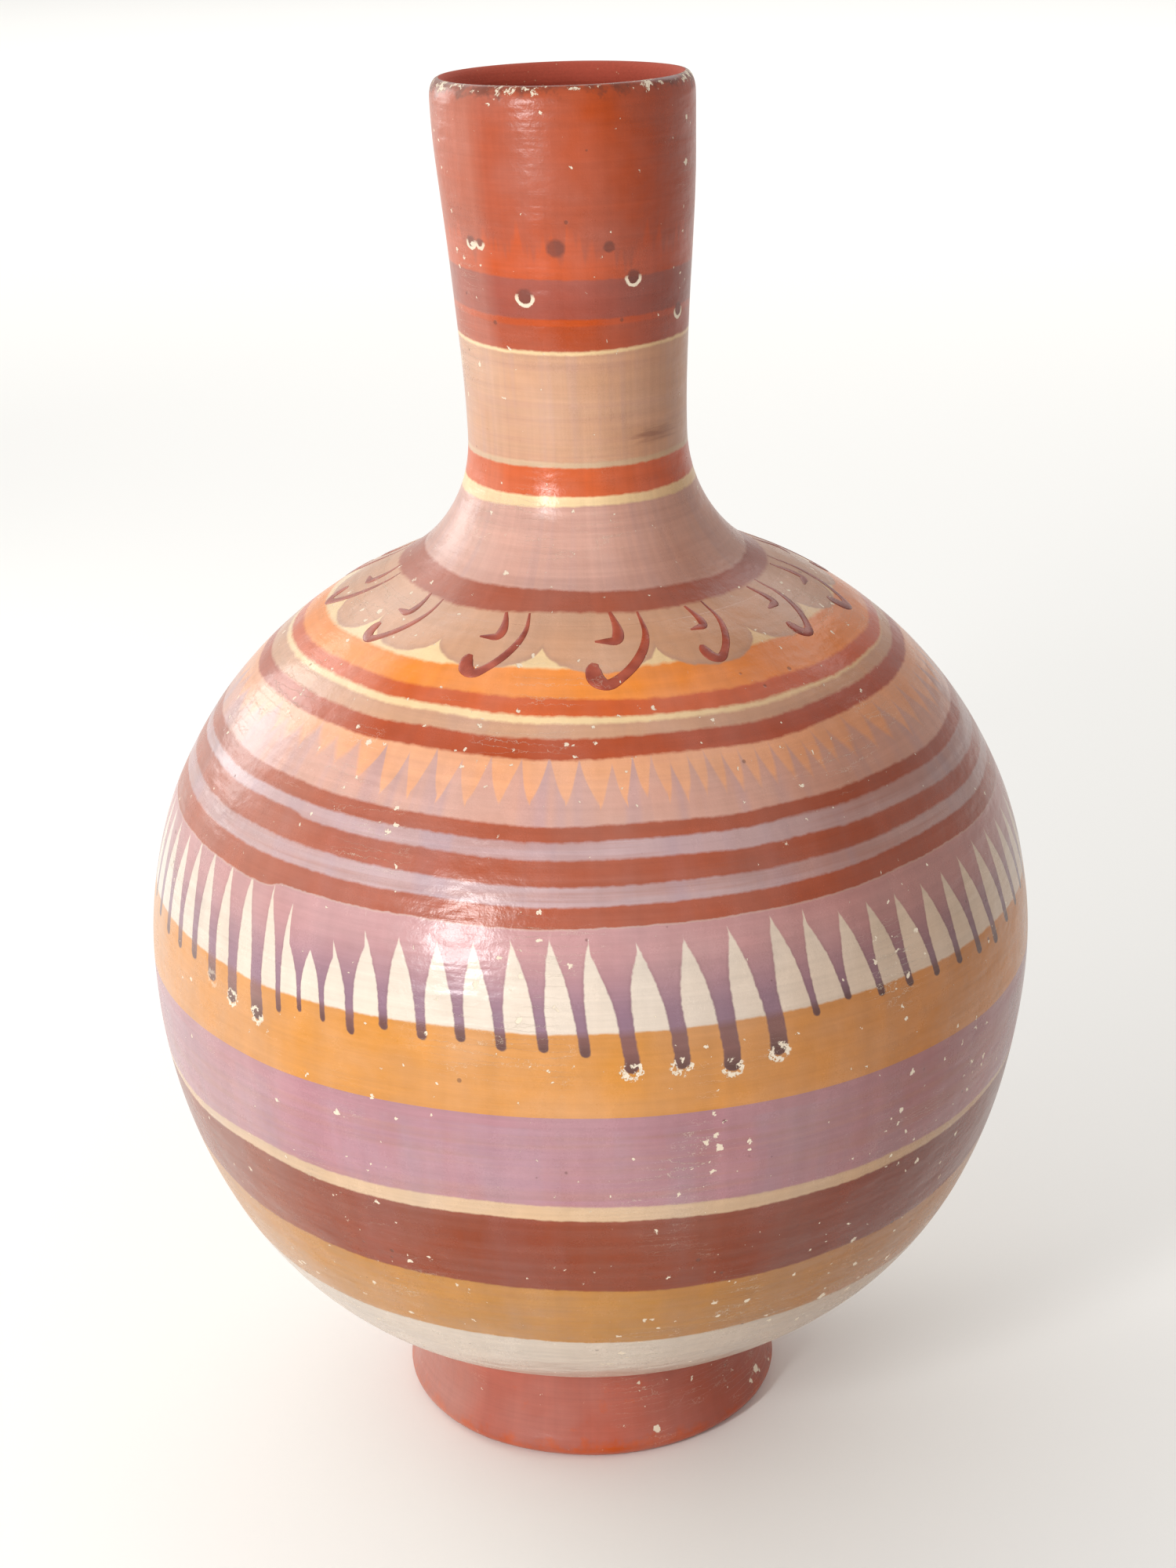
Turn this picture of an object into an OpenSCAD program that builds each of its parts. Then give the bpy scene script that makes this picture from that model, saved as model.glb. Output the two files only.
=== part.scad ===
// Long-necked burnished earthenware vase, built up by hand from sections of clay.
// Millimetres. +Z is up, and the origin is the centre of the face that the foot rests on.
// Every section is a round shell or ring, luted to its neighbours at a slanted seam.

/* [Bowl and shoulder] */
// Widest diameter of the belly
belly_d = 290; // [230:1:360]
// Height of the bowl, from its lowest point to the widest part of the belly
bowl_h = 142; // [110:1:180]
// Height of the shoulder, from the widest part of the belly to the neck seam
shoulder_h = 122.5; // [95:0.5:155]
// How square the bowl's side view is, where 2 is a plain ellipse
bowl_full = 2.85; // [2:0.05:3.4]
// How square the shoulder's side view is, where 2 is a plain ellipse
shoulder_full = 2.1; // [1.8:0.05:2.6]
// How far above the neck seam the shoulder's curve would close, if it went on
dome_over = 12.5; // [8:0.5:20]

/* [Neck and mouth] */
// Height of the neck and lip, above the neck seam
neck_h = 155.5; // [120:0.5:200]
// Diameter of the neck where it is narrowest
waist_d = 68.8; // [54:0.2:84]
// Diameter of the mouth, outside the lip
mouth_d = 80.4; // [66:0.2:100]
// Thickness of the lip
lip_t = 6; // [5:0.5:10]
// Height of the lip's rounded top
lip_h = 6; // [3:0.5:9]
// Height of the coil that the lip is formed from
rim_h = 17; // [12:0.5:26]

/* [Foot] */
// Height of the bowl's lowest point above the resting face
base_lift = 30; // [22:0.5:40]
// Outside diameter of the foot where it rests
foot_d = 128; // [104:1:154]
// Outside diameter of the foot where it meets the bowl
foot_top_d = 118.6; // [98:0.2:142]
// Thickness of the foot where it rests
foot_t = 12; // [9:0.5:16]
// Thickness of the foot where it meets the bowl
foot_top_t = 10.3; // [7:0.1:14]
// Radius of the foot's rounded outer edge, twice that of its inner edge
foot_edge = 5; // [2:0.5:6]

/* [Wall and seams] */
// Wall thickness of the bowl, shoulder and neck
wall = 5; // [4:0.5:7]
// How far each seam slants along the wall, so that the sections lap
seam_slant = 6; // [2:0.5:10]
// Thickness of the soft clay coils smeared over the seams inside
coil_t = 4; // [2.5:0.5:6]
// Width of the coil smeared into the corner under the bowl
foot_coil_w = 8; // [5:0.5:11]

/* [Hidden] */

$fn = 96;
steps = 24;             // points along the side view of the bowl, and of the shoulder
flank_steps = 12;       // points along the foot's outer side
hollow_steps = 6;       // points along the face of the coil under the bowl
edge_step = 15;         // degrees between points on a rounded edge

belly_r = belly_d / 2;
waist_r = waist_d / 2;
mouth_r = mouth_d / 2;
foot_r = foot_d / 2;
foot_top_r = foot_top_d / 2;
foot_in_r = foot_r - foot_t;
foot_in_top_r = foot_top_r - foot_top_t;

belly_z = base_lift + bowl_h;
neck_z = belly_z + shoulder_h;
total_h = neck_z + neck_h;
lip_z = total_h - lip_h;

// The shoulder's curve is cut at the neck seam, at this angle of its own sweep.
dome_h = shoulder_h + dome_over;
dome_sweep = asin(shoulder_h / dome_h);
seam_r = belly_r * pow(cos(dome_sweep), 2 / shoulder_full);

// The neck springs from the shoulder on an arc that starts along the shoulder's own slope
// and ends upright at the waist.
rise = shoulder_h / dome_h;
seam_slope = belly_r * 2 / (shoulder_full * dome_h) * rise * pow(1 - rise * rise, 1 / shoulder_full - 1);
flare_angle = atan(seam_slope);
flare_r = (seam_r - waist_r) / (1 - cos(flare_angle));
waist_z = neck_z + flare_r * sin(flare_angle);
taper_h = lip_z - waist_z;

// A value s runs up the outside of the vase: 0 at the middle of the bowl's underside,
// 1 at the belly, 2 at the neck seam, 2.5 at the waist and 3 where the lip starts to round.
s_belly = 1;
s_neck = 2;
s_waist = 2.5;
s_lip = 3;
s_step = 1 / steps;
s_fine = 0.001;

function bowl_point(t) = [belly_r * pow(cos(t), 2 / bowl_full), belly_z - bowl_h * sin(t)];
function dome_point(t) = [belly_r * pow(cos(t), 2 / shoulder_full), belly_z + dome_h * sin(t)];
function flare_point(a) = [waist_r + flare_r * (1 - cos(a)), waist_z - flare_r * sin(a)];
function ease(u) = u * u * (3 - 2 * u);
function taper_point(u) = [waist_r + (mouth_r - waist_r) * ease(u), waist_z + taper_h * u];

function outer(s) =
    s <= s_belly ? bowl_point(90 * (1 - s)) :
    s <= s_neck ? dome_point(dome_sweep * (s - s_belly)) :
    s <= s_waist ? flare_point(flare_angle * (s_waist - s) / (s_waist - s_neck)) :
    taper_point((s - s_waist) / (s_lip - s_waist));

// The inside lies one wall thickness in from the outside, square to it.
function along(s) = outer(min(s + s_fine, s_lip)) - outer(max(s - s_fine, 0));
function inward(v) = [-v.y, v.x] / norm(v);
function inset(s, depth) =
    s == 0 ? outer(0) + [0, depth] : outer(s) + depth * inward(along(s));
function inner(s) = inset(s, wall);

// Values of s through a list of stops: every stop, and every whole step between them. Sections
// and coils that touch draw their shared face through the same points, because all use this.
function stretch(a, b) = concat(
    [a],
    [for (i = [floor(a * steps + 0.01) + 1 : 1 : ceil(b * steps - 0.01) - 1]) i * s_step]);
function span(stops) = concat(
    [for (k = [0 : len(stops) - 2]) each stretch(stops[k], stops[k + 1])],
    [stops[len(stops) - 1]]);
function backwards(list) = [for (i = [len(list) - 1 : -1 : 0]) list[i]];
function without_ends(list) = [for (i = [1 : len(list) - 2]) list[i]];
function outer_line(stops) = [for (s = span(stops)) outer(s)];
function inner_line(stops) = [for (s = span(stops)) inner(s)];

// Where a radius lies on the bowl's underside
function s_at_radius(r) = 1 - acos(pow(r / belly_r, bowl_full / 2)) / 90;
s_foot_out = s_at_radius(foot_top_r);
s_foot_in = s_at_radius(foot_in_top_r);
s_foot_coil = s_at_radius(foot_in_top_r - foot_coil_w);
foot_top_z = outer(s_foot_out).y;

// The foot's inner face runs straight from its rounded heel up to the bowl, and the coil in
// the corner reaches down it as far as it reaches along the bowl.
heel_r = foot_edge / 2;
foot_corner = outer(s_foot_in);
foot_face = [foot_in_r, heel_r] - foot_corner;
foot_coil_low = foot_corner + foot_coil_w * foot_face / norm(foot_face);

// Each seam slants up the wall from its outer edge to its inner edge.
belly_seam_in = s_belly + (s_neck - s_belly) * asin(seam_slant / dome_h) / dome_sweep;
neck_seam_in = s_neck + (s_waist - s_neck) * seam_slant / (flare_r * flare_angle * PI / 180);
rim_seam = s_lip - (s_lip - s_waist) * (rim_h - lip_h) / taper_h;
rim_seam_in = rim_seam + (s_lip - s_waist) * seam_slant / taper_h;

// A soft coil smeared over a seam: its back follows the wall, and its face is a low rise.
module coil_ring(a, seam, b) {
    face = [for (s = span([a, b])) inset(s, wall + coil_t * sin(180 * (s - a) / (b - a)))];
    rotate_extrude()
        polygon(concat(inner_line([a, seam, b]), backwards(without_ends(face))));
}

// A length of the vase's wall between two seams
module wall_ring(a_out, b_out, a_in, b_in) {
    rotate_extrude()
        polygon(concat(outer_line([a_out, b_out]), backwards(inner_line([a_in, b_in]))));
}

module foot_ring() {
    toe = [for (a = [-90 : edge_step : 0])
        [foot_r - foot_edge + foot_edge * cos(a), foot_edge + foot_edge * sin(a)]];
    flank = [for (i = [1 : flank_steps])
        let (u = i / flank_steps)
        [foot_top_r + (foot_r - foot_top_r) * pow(1 - u, 3), foot_edge + (foot_top_z - foot_edge) * u]];
    seat = backwards(outer_line([s_foot_in, s_foot_out]));
    heel = [for (a = [180 : edge_step : 270])
        [foot_in_r + heel_r + heel_r * cos(a), heel_r + heel_r * sin(a)]];
    color("#b04a37")
        rotate_extrude()
            polygon(concat(toe, flank, without_ends(seat), [foot_corner, foot_coil_low], heel));
}

module foot_luting_coil() {
    under = backwards(outer_line([s_foot_coil, s_foot_in]));
    tip = outer(s_foot_coil);
    // The coil's face is a curve pulled in towards the corner by the thumb.
    pull = (foot_coil_low + tip + foot_corner) / 3;
    hollow = [for (i = [1 : hollow_steps - 1])
        let (u = i / hollow_steps)
        tip * pow(1 - u, 2) + pull * 2 * u * (1 - u) + foot_coil_low * u * u];
    color("#8f3a2c")
        rotate_extrude()
            polygon(concat(under, hollow, [foot_coil_low]));
}

module lower_bowl() {
    outside = outer_line([0, s_foot_coil, s_foot_in, s_foot_out, s_belly]);
    color("#b98f98")
        rotate_extrude()
            polygon(concat(outside, backwards(inner_line([0, belly_seam_in]))));
}

module belly_luting_coil() {
    color("#a95a45")
        coil_ring(s_belly - s_step, belly_seam_in, s_belly + 2 * s_step);
}

module shoulder_shell() {
    color("#d98b4a")
        wall_ring(s_belly, s_neck, belly_seam_in, neck_seam_in);
}

module neck_luting_coil() {
    color("#a95a45")
        coil_ring(s_neck - 2 * s_step, neck_seam_in, s_neck + 3 * s_step);
}

module neck_tube() {
    color("#c2503a")
        wall_ring(s_neck, rim_seam, neck_seam_in, rim_seam_in);
}

module rim_coil() {
    lip_mid = mouth_r - lip_t / 2;
    crest = [for (a = [edge_step : edge_step : 180])
        [lip_mid + lip_t / 2 * cos(a), lip_z + lip_h * sin(a)]];
    color("#b5482f")
        rotate_extrude()
            polygon(concat(outer_line([rim_seam, s_lip]), crest, [inner(rim_seam_in)]));
}

foot_ring();
foot_luting_coil();
lower_bowl();
belly_luting_coil();
shoulder_shell();
neck_luting_coil();
neck_tube();
rim_coil();
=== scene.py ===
"""Long-necked vase of burnished, slip-painted earthenware, finished around its packed construction.

Every wall is turned by Geometry Nodes from its side view, and the brushwork is painted by height and
by angle round the vase. Sizes in tables are millimetres. Angles are degrees round the vase: 0 faces
the front (-Y), and they grow towards +X.
"""
import math
from collections import namedtuple

import bmesh
import bpy
from bpy.props import FloatProperty, FloatVectorProperty, IntProperty, PointerProperty
from bpy.types import Operator, Panel, PropertyGroup
from mathutils import Matrix, Vector


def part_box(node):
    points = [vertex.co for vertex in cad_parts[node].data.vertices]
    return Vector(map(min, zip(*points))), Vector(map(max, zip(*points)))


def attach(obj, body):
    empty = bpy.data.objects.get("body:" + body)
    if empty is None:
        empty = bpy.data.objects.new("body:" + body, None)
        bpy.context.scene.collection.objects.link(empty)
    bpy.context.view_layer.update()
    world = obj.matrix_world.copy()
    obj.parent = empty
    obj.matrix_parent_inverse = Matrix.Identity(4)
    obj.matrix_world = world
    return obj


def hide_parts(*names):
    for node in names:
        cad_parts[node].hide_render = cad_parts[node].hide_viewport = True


bl_info = {
    "name": "Burnished Slip Vase",
    "version": (1, 0, 0),
    "blender": (4, 5, 0),
    "location": "View3D > Sidebar > Vase",
    "description": "Turns and paints a long-necked burnished earthenware vase",
    "category": "Add Mesh",
}

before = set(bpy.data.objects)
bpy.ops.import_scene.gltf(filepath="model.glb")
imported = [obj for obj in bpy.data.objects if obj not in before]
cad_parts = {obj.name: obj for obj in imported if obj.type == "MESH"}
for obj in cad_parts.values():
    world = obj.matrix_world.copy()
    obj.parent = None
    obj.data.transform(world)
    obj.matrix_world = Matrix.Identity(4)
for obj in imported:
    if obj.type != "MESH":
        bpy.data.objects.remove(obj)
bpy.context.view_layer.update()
BODY = "root"

MM = 0.001
MATH = "ShaderNodeMath"
VECTOR_MATH = "ShaderNodeVectorMath"
MIX = "ShaderNodeMix"
MAP = "ShaderNodeMapRange"
NOISE = "ShaderNodeTexNoise"
VORONOI = "ShaderNodeTexVoronoi"
RAMP = "ShaderNodeValToRGB"
COMBINE = "ShaderNodeCombineXYZ"
SEPARATE = "ShaderNodeSeparateXYZ"
CHANNELS = "ShaderNodeSeparateColor"
READ = "GeometryNodeInputNamedAttribute"
STORE = "GeometryNodeStoreNamedAttribute"
READ_NUMBER = (READ, {"data_type": "FLOAT"})
LAY = (MIX, {"data_type": "RGBA"})      # lays one colour over another
PLUS, MINUS, TIMES, OVER, POWER, TIMES_PLUS = (
    (MATH, {"operation": name})
    for name in ("ADD", "SUBTRACT", "MULTIPLY", "DIVIDE", "POWER", "MULTIPLY_ADD"))
ABOVE = ("FunctionNodeCompare", {"data_type": "FLOAT", "operation": "GREATER_THAN"})
THROWN = "thrown"          # each point's place before the vase leaned and slumped
HALF_WIDTH = "half_width"
CREASE = math.radians(38)  # an edge that bends more than this is shaded sharp
STRIP_MAP = "OFBake"       # the piece's own map: strips of wall, laid flat


def linear(hex_colour):
    """An sRGB hex colour as the linear red, green, blue and alpha that the nodes take."""
    parts = [int(hex_colour[i:i + 2], 16) / 255 for i in (1, 3, 5)]
    return (*[c / 12.92 if c <= 0.04045 else ((c + 0.055) / 1.055) ** 2.4 for c in parts], 1.0)


def put(tree, kind, *inputs, out=0, **settings):
    """Adds a node. Settings are its properties, and inputs fill its open sockets in order, None leaving one.

    A kind is a node's type, or a pair of that and the settings that it always has here.
    """
    kind, preset = (kind, {}) if isinstance(kind, str) else kind
    node = tree.nodes.new(kind)
    for name, value in {**preset, **settings}.items():
        setattr(node, name, value)
    sockets = [s for s in node.inputs if s.enabled]
    for socket, value in zip(sockets, inputs):
        if isinstance(value, bpy.types.NodeSocket):
            tree.links.new(value, socket)
        elif value is not None:
            socket.default_value = value
    return [s for s in node.outputs if s.enabled][out] if node.outputs else node


# ---------------------------------------------------------------------------------------------
# The side view, restated from the construction
# ---------------------------------------------------------------------------------------------

BOWL_LOW, BOWL_HIGH = (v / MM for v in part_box("lower_bowl"))
SHOULDER_LOW, SHOULDER_HIGH = (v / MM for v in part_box("shoulder_shell"))
RIM_LOW, RIM_HIGH = (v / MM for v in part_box("rim_coil"))
FOOT_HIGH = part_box("foot_ring")[1] / MM

BELLY_R = BOWL_HIGH.x
BOWL_H = SHOULDER_LOW.z - BOWL_LOW.z
BELLY_Z = SHOULDER_LOW.z
NECK_Z = SHOULDER_HIGH.z
TOTAL_H = RIM_HIGH.z
MOUTH_R = RIM_HIGH.x
RIM_Z = RIM_LOW.z
FOOT_R = FOOT_HIGH.x

BOWL_FULL = 2.85
SHOULDER_FULL = 2.1
DOME_H = NECK_Z - BELLY_Z + 12.5
WAIST_R = 34.4
WALL = 5.0
COIL_T = 4.0
SEAM_SLANT = 6.0
LIP_T = 6.0
LIP_H = 6.0
LIP_Z = TOTAL_H - LIP_H
FOOT_TOP_R = 59.3
FOOT_T = 12.0
FOOT_TOP_T = 10.3
FOOT_EDGE = 5.0
FOOT_COIL_W = 8.0

DOME_SWEEP = math.asin((NECK_Z - BELLY_Z) / DOME_H)
SEAM_R = BELLY_R * math.cos(DOME_SWEEP) ** (2 / SHOULDER_FULL)
RISE = (NECK_Z - BELLY_Z) / DOME_H
SEAM_SLOPE = BELLY_R * 2 / (SHOULDER_FULL * DOME_H) * RISE * (1 - RISE ** 2) ** (1 / SHOULDER_FULL - 1)
FLARE_ANGLE = math.atan(SEAM_SLOPE)
FLARE_R = (SEAM_R - WAIST_R) / (1 - math.cos(FLARE_ANGLE))
WAIST_Z = NECK_Z + FLARE_R * math.sin(FLARE_ANGLE)
TAPER_H = LIP_Z - WAIST_Z

# A value s runs up the outside: 0 under the bowl, then the belly, the neck seam, the waist and the lip.
S_BELLY, S_NECK, S_WAIST, S_LIP = 1.0, 2.0, 2.5, 3.0
S_FINE = 0.001


def outer(s):
    """The outside of the wall at s, as (radius, height)."""
    if s <= S_BELLY:
        t = math.pi / 2 * (1 - s)
        reach = math.cos(t) if s else 0.0
        return Vector((BELLY_R * reach ** (2 / BOWL_FULL), BELLY_Z - BOWL_H * math.sin(t)))
    if s <= S_NECK:
        t = DOME_SWEEP * (s - S_BELLY)
        return Vector((BELLY_R * math.cos(t) ** (2 / SHOULDER_FULL), BELLY_Z + DOME_H * math.sin(t)))
    if s <= S_WAIST:
        a = FLARE_ANGLE * (S_WAIST - s) / (S_WAIST - S_NECK)
        return Vector((WAIST_R + FLARE_R * (1 - math.cos(a)), WAIST_Z - FLARE_R * math.sin(a)))
    u = (s - S_WAIST) / (S_LIP - S_WAIST)
    return Vector((WAIST_R + (MOUTH_R - WAIST_R) * u * u * (3 - 2 * u), WAIST_Z + TAPER_H * u))


def inset(s, depth):
    """The point that lies depth in from the outside of the wall at s, square to it."""
    if s == 0:
        return outer(0) + Vector((0, depth))
    along = outer(min(s + S_FINE, S_LIP)) - outer(max(s - S_FINE, 0))
    return outer(s) + Vector((-along.y, along.x)) * depth / along.length


def stretch(a, b, per_s):
    """Values of s from a to b, per_s of them to each whole step, and a short step next to each end."""
    count = max(2, round((b - a) * per_s))
    edge = (b - a) / count * 0.15
    return [a, a + edge, *[a + (b - a) * i / count for i in range(1, count)], b - edge, b]


def line_at(values, depth=0.0):
    return [inset(s, depth) if depth else outer(s) for s in values]


def s_at_radius(r):
    return 1 - math.acos((r / BELLY_R) ** (BOWL_FULL / 2)) / (math.pi / 2)


PER_S = 64            # points to each whole step of s, about 3 mm apart on the widest parts
SEAM_IN = {
    "belly": S_BELLY + math.asin(SEAM_SLANT / DOME_H) / DOME_SWEEP,
    "neck": S_NECK + (S_WAIST - S_NECK) * SEAM_SLANT / (FLARE_R * FLARE_ANGLE),
}
COIL_STEP = 1 / 24    # the construction counts its soft coils' widths in these steps of s
S_RIM = S_LIP - (S_LIP - S_WAIST) * (LIP_Z - RIM_Z) / TAPER_H
SEAM_IN["rim"] = S_RIM + (S_LIP - S_WAIST) * SEAM_SLANT / TAPER_H

OUTSIDE, INSIDE, BARE = 0, 1, 2
OUTSIDE_STRIP = (0.01, 0.83)   # the part of a strip's height that each skin takes on the map
INSIDE_STRIP = (0.85, 0.985)
BARE_STRIP = (0.988, 0.998)


def shell_sides(a, b, a_in, b_in):
    """A length of wall: its outside upwards, the upper seam, its inside downwards and the lower seam."""
    out_line = line_at(stretch(a, b, PER_S))
    in_line = line_at(stretch(a_in, b_in, PER_S), WALL)[::-1]
    sides = [(OUTSIDE, out_line), (BARE, [out_line[-1], in_line[0]]), (INSIDE, in_line)]
    if a > 0:
        sides.append((BARE, [in_line[-1], out_line[0]]))
    return sides


def foot_sides():
    """The foot ring: its outside from heel to bowl, its seat under the bowl, and its inner face."""
    toe = [(FOOT_R - FOOT_EDGE + FOOT_EDGE * math.cos(a), FOOT_EDGE + FOOT_EDGE * math.sin(a))
           for a in [math.radians(15 * i - 90) for i in range(7)]]
    flank = [(FOOT_TOP_R + (FOOT_R - FOOT_TOP_R) * (1 - i / 14) ** 3,
              FOOT_EDGE + (outer(s_at_radius(FOOT_TOP_R)).y - FOOT_EDGE) * i / 14) for i in range(1, 15)]
    seat = line_at(stretch(s_at_radius(FOOT_TOP_R - FOOT_TOP_T), s_at_radius(FOOT_TOP_R), PER_S))[::-1]
    heel_r = FOOT_EDGE / 2
    heel = [(FOOT_R - FOOT_T + heel_r + heel_r * math.cos(a), heel_r + heel_r * math.sin(a))
            for a in [math.radians(180 + 22.5 * i) for i in range(5)]]
    face = [seat[-1].lerp(Vector(heel[0]), i / 8) for i in range(8)]
    return [(OUTSIDE, [*toe, *flank]), (BARE, seat), (BARE, [*face, *heel, toe[0]])]


def foot_coil_sides():
    """The coil of clay thumbed into the corner between the foot and the bowl's underside."""
    corner_r = FOOT_TOP_R - FOOT_TOP_T
    under = line_at(stretch(s_at_radius(corner_r - FOOT_COIL_W), s_at_radius(corner_r), PER_S))
    corner, tip = under[-1], under[0]
    heel_r = FOOT_EDGE / 2
    down = Vector((FOOT_R - FOOT_T, heel_r)) - corner
    low = corner + FOOT_COIL_W * down.normalized()
    pull = (low + tip + corner) / 3
    face = [low * (1 - u) ** 2 + pull * 2 * u * (1 - u) + tip * u * u for u in [i / 10 for i in range(11)]]
    return [(BARE, under[::-1]), (BARE, face[::-1]), (BARE, [low, corner])]


def coil_sides(a, b):
    """A soft coil smeared over a seam inside: its back is the wall's inside, and its face a low rise."""
    values = stretch(a, b, PER_S * 2)
    face = [inset(s, WALL + COIL_T * math.sin(math.pi * (s - a) / (b - a))) for s in values]
    return [(BARE, line_at(values, WALL)), (BARE, face[::-1])]


def rim_sides():
    """The coil that the lip is formed from."""
    out_line = line_at(stretch(S_RIM, S_LIP, PER_S))
    middle = MOUTH_R - LIP_T / 2
    crest = [Vector((middle + LIP_T / 2 * math.cos(a), LIP_Z + LIP_H * math.sin(a)))
             for a in [math.radians(10 * i) for i in range(19)]]
    mouth = [crest[-1], inset(SEAM_IN["rim"], WALL)]
    return [(OUTSIDE, out_line + crest[1:10]), (INSIDE, crest[9:] + mouth[1:]),
            (BARE, [mouth[-1], out_line[0]])]


# ---------------------------------------------------------------------------------------------
# Geometry Nodes
# ---------------------------------------------------------------------------------------------

def new_tree(name, inputs, outputs=(("Geometry", "NodeSocketGeometry"),)):
    """A Geometry Nodes tree with named sockets. Returns it, its inputs by name and its output node."""
    tree = bpy.data.node_groups.new(name, "GeometryNodeTree")
    for label, kind in inputs:
        tree.interface.new_socket(name=label, in_out="INPUT", socket_type=kind)
    for label, kind in outputs:
        tree.interface.new_socket(name=label, in_out="OUTPUT", socket_type=kind)
    given = tree.nodes.new("NodeGroupInput")
    result = tree.nodes.new("NodeGroupOutput")
    return tree, {s.name: s for s in given.outputs if s.name}, result


DRIFT_INPUTS = (("Lean", "NodeSocketFloat"), ("Foot Shift", "NodeSocketFloat"),
                ("Rim Dip", "NodeSocketFloat"), ("Swell", "NodeSocketFloat"))


def drift_tree():
    """How far each point has moved from true in the hand-built vase: one smooth field for every piece."""
    found = bpy.data.node_groups.get("Hand Drift")
    if found:
        return found
    tree, given, result = new_tree("Hand Drift", (("Position", "NodeSocketVector"), *DRIFT_INPUTS),
                                   (("Offset", "NodeSocketVector"),))
    height = put(tree, SEPARATE, given["Position"], out=2)
    flat = put(tree, VECTOR_MATH, given["Position"], (1, 1, 0), operation="MULTIPLY")
    outward = put(tree, VECTOR_MATH, flat, operation="NORMALIZE")
    # The neck leans from just above the shoulder.
    up_neck = put(tree, MAP, height, 262 * MM, 450 * MM, 0.0, 1.0)
    bend = put(tree, POWER, up_neck, 1.3)
    lean = put(tree, TIMES, bend, given["Lean"])
    # The foot sits a little to one side of the bowl's own axis.
    near_foot = put(tree, MAP, height, 34 * MM, 75 * MM, 1.0, 0.0, interpolation_type="SMOOTHSTEP")
    foot = put(tree, TIMES, near_foot, given["Foot Shift"])
    sideways = put(tree, PLUS, lean, foot)
    # The lip was levelled by eye, so its back is lower than its front.
    near_lip = put(tree, MAP, height, 405 * MM, 445 * MM, 0.0, 1.0, interpolation_type="SMOOTHSTEP")
    slope = put(tree, VECTOR_MATH, outward, (0.22, -0.5, 0), operation="DOT_PRODUCT", out=0)
    below = put(tree, MINUS, slope, 0.546)
    tilt = put(tree, TIMES, below, near_lip)
    dip = put(tree, TIMES, tilt, given["Rim Dip"])
    # Low swellings left by paddling the clay by hand
    swell = put(tree, NOISE, given["Position"], 17.0, 1.5, 0.4, noise_dimensions="3D")
    middle = put(tree, MINUS, swell, 0.5)
    reach = put(tree, TIMES, middle, given["Swell"])
    out_move = put(tree, VECTOR_MATH, outward, reach, operation="SCALE")
    move = put(tree, COMBINE, sideways, 0.0, dip)
    total = put(tree, VECTOR_MATH, move, out_move, operation="ADD")
    tree.links.new(total, result.inputs[0])
    return tree


def drifted(tree, geometry, place, given):
    """Moves every point of the geometry by the vase's hand-made drift at its place."""
    node = tree.nodes.new("GeometryNodeGroup")
    node.node_tree = drift_tree()
    tree.links.new(place, node.inputs["Position"])
    for label, _ in DRIFT_INPUTS:
        tree.links.new(given[label], node.inputs[label])
    return put(tree, "GeometryNodeSetPosition", geometry, None, None, node.outputs[0])


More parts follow.
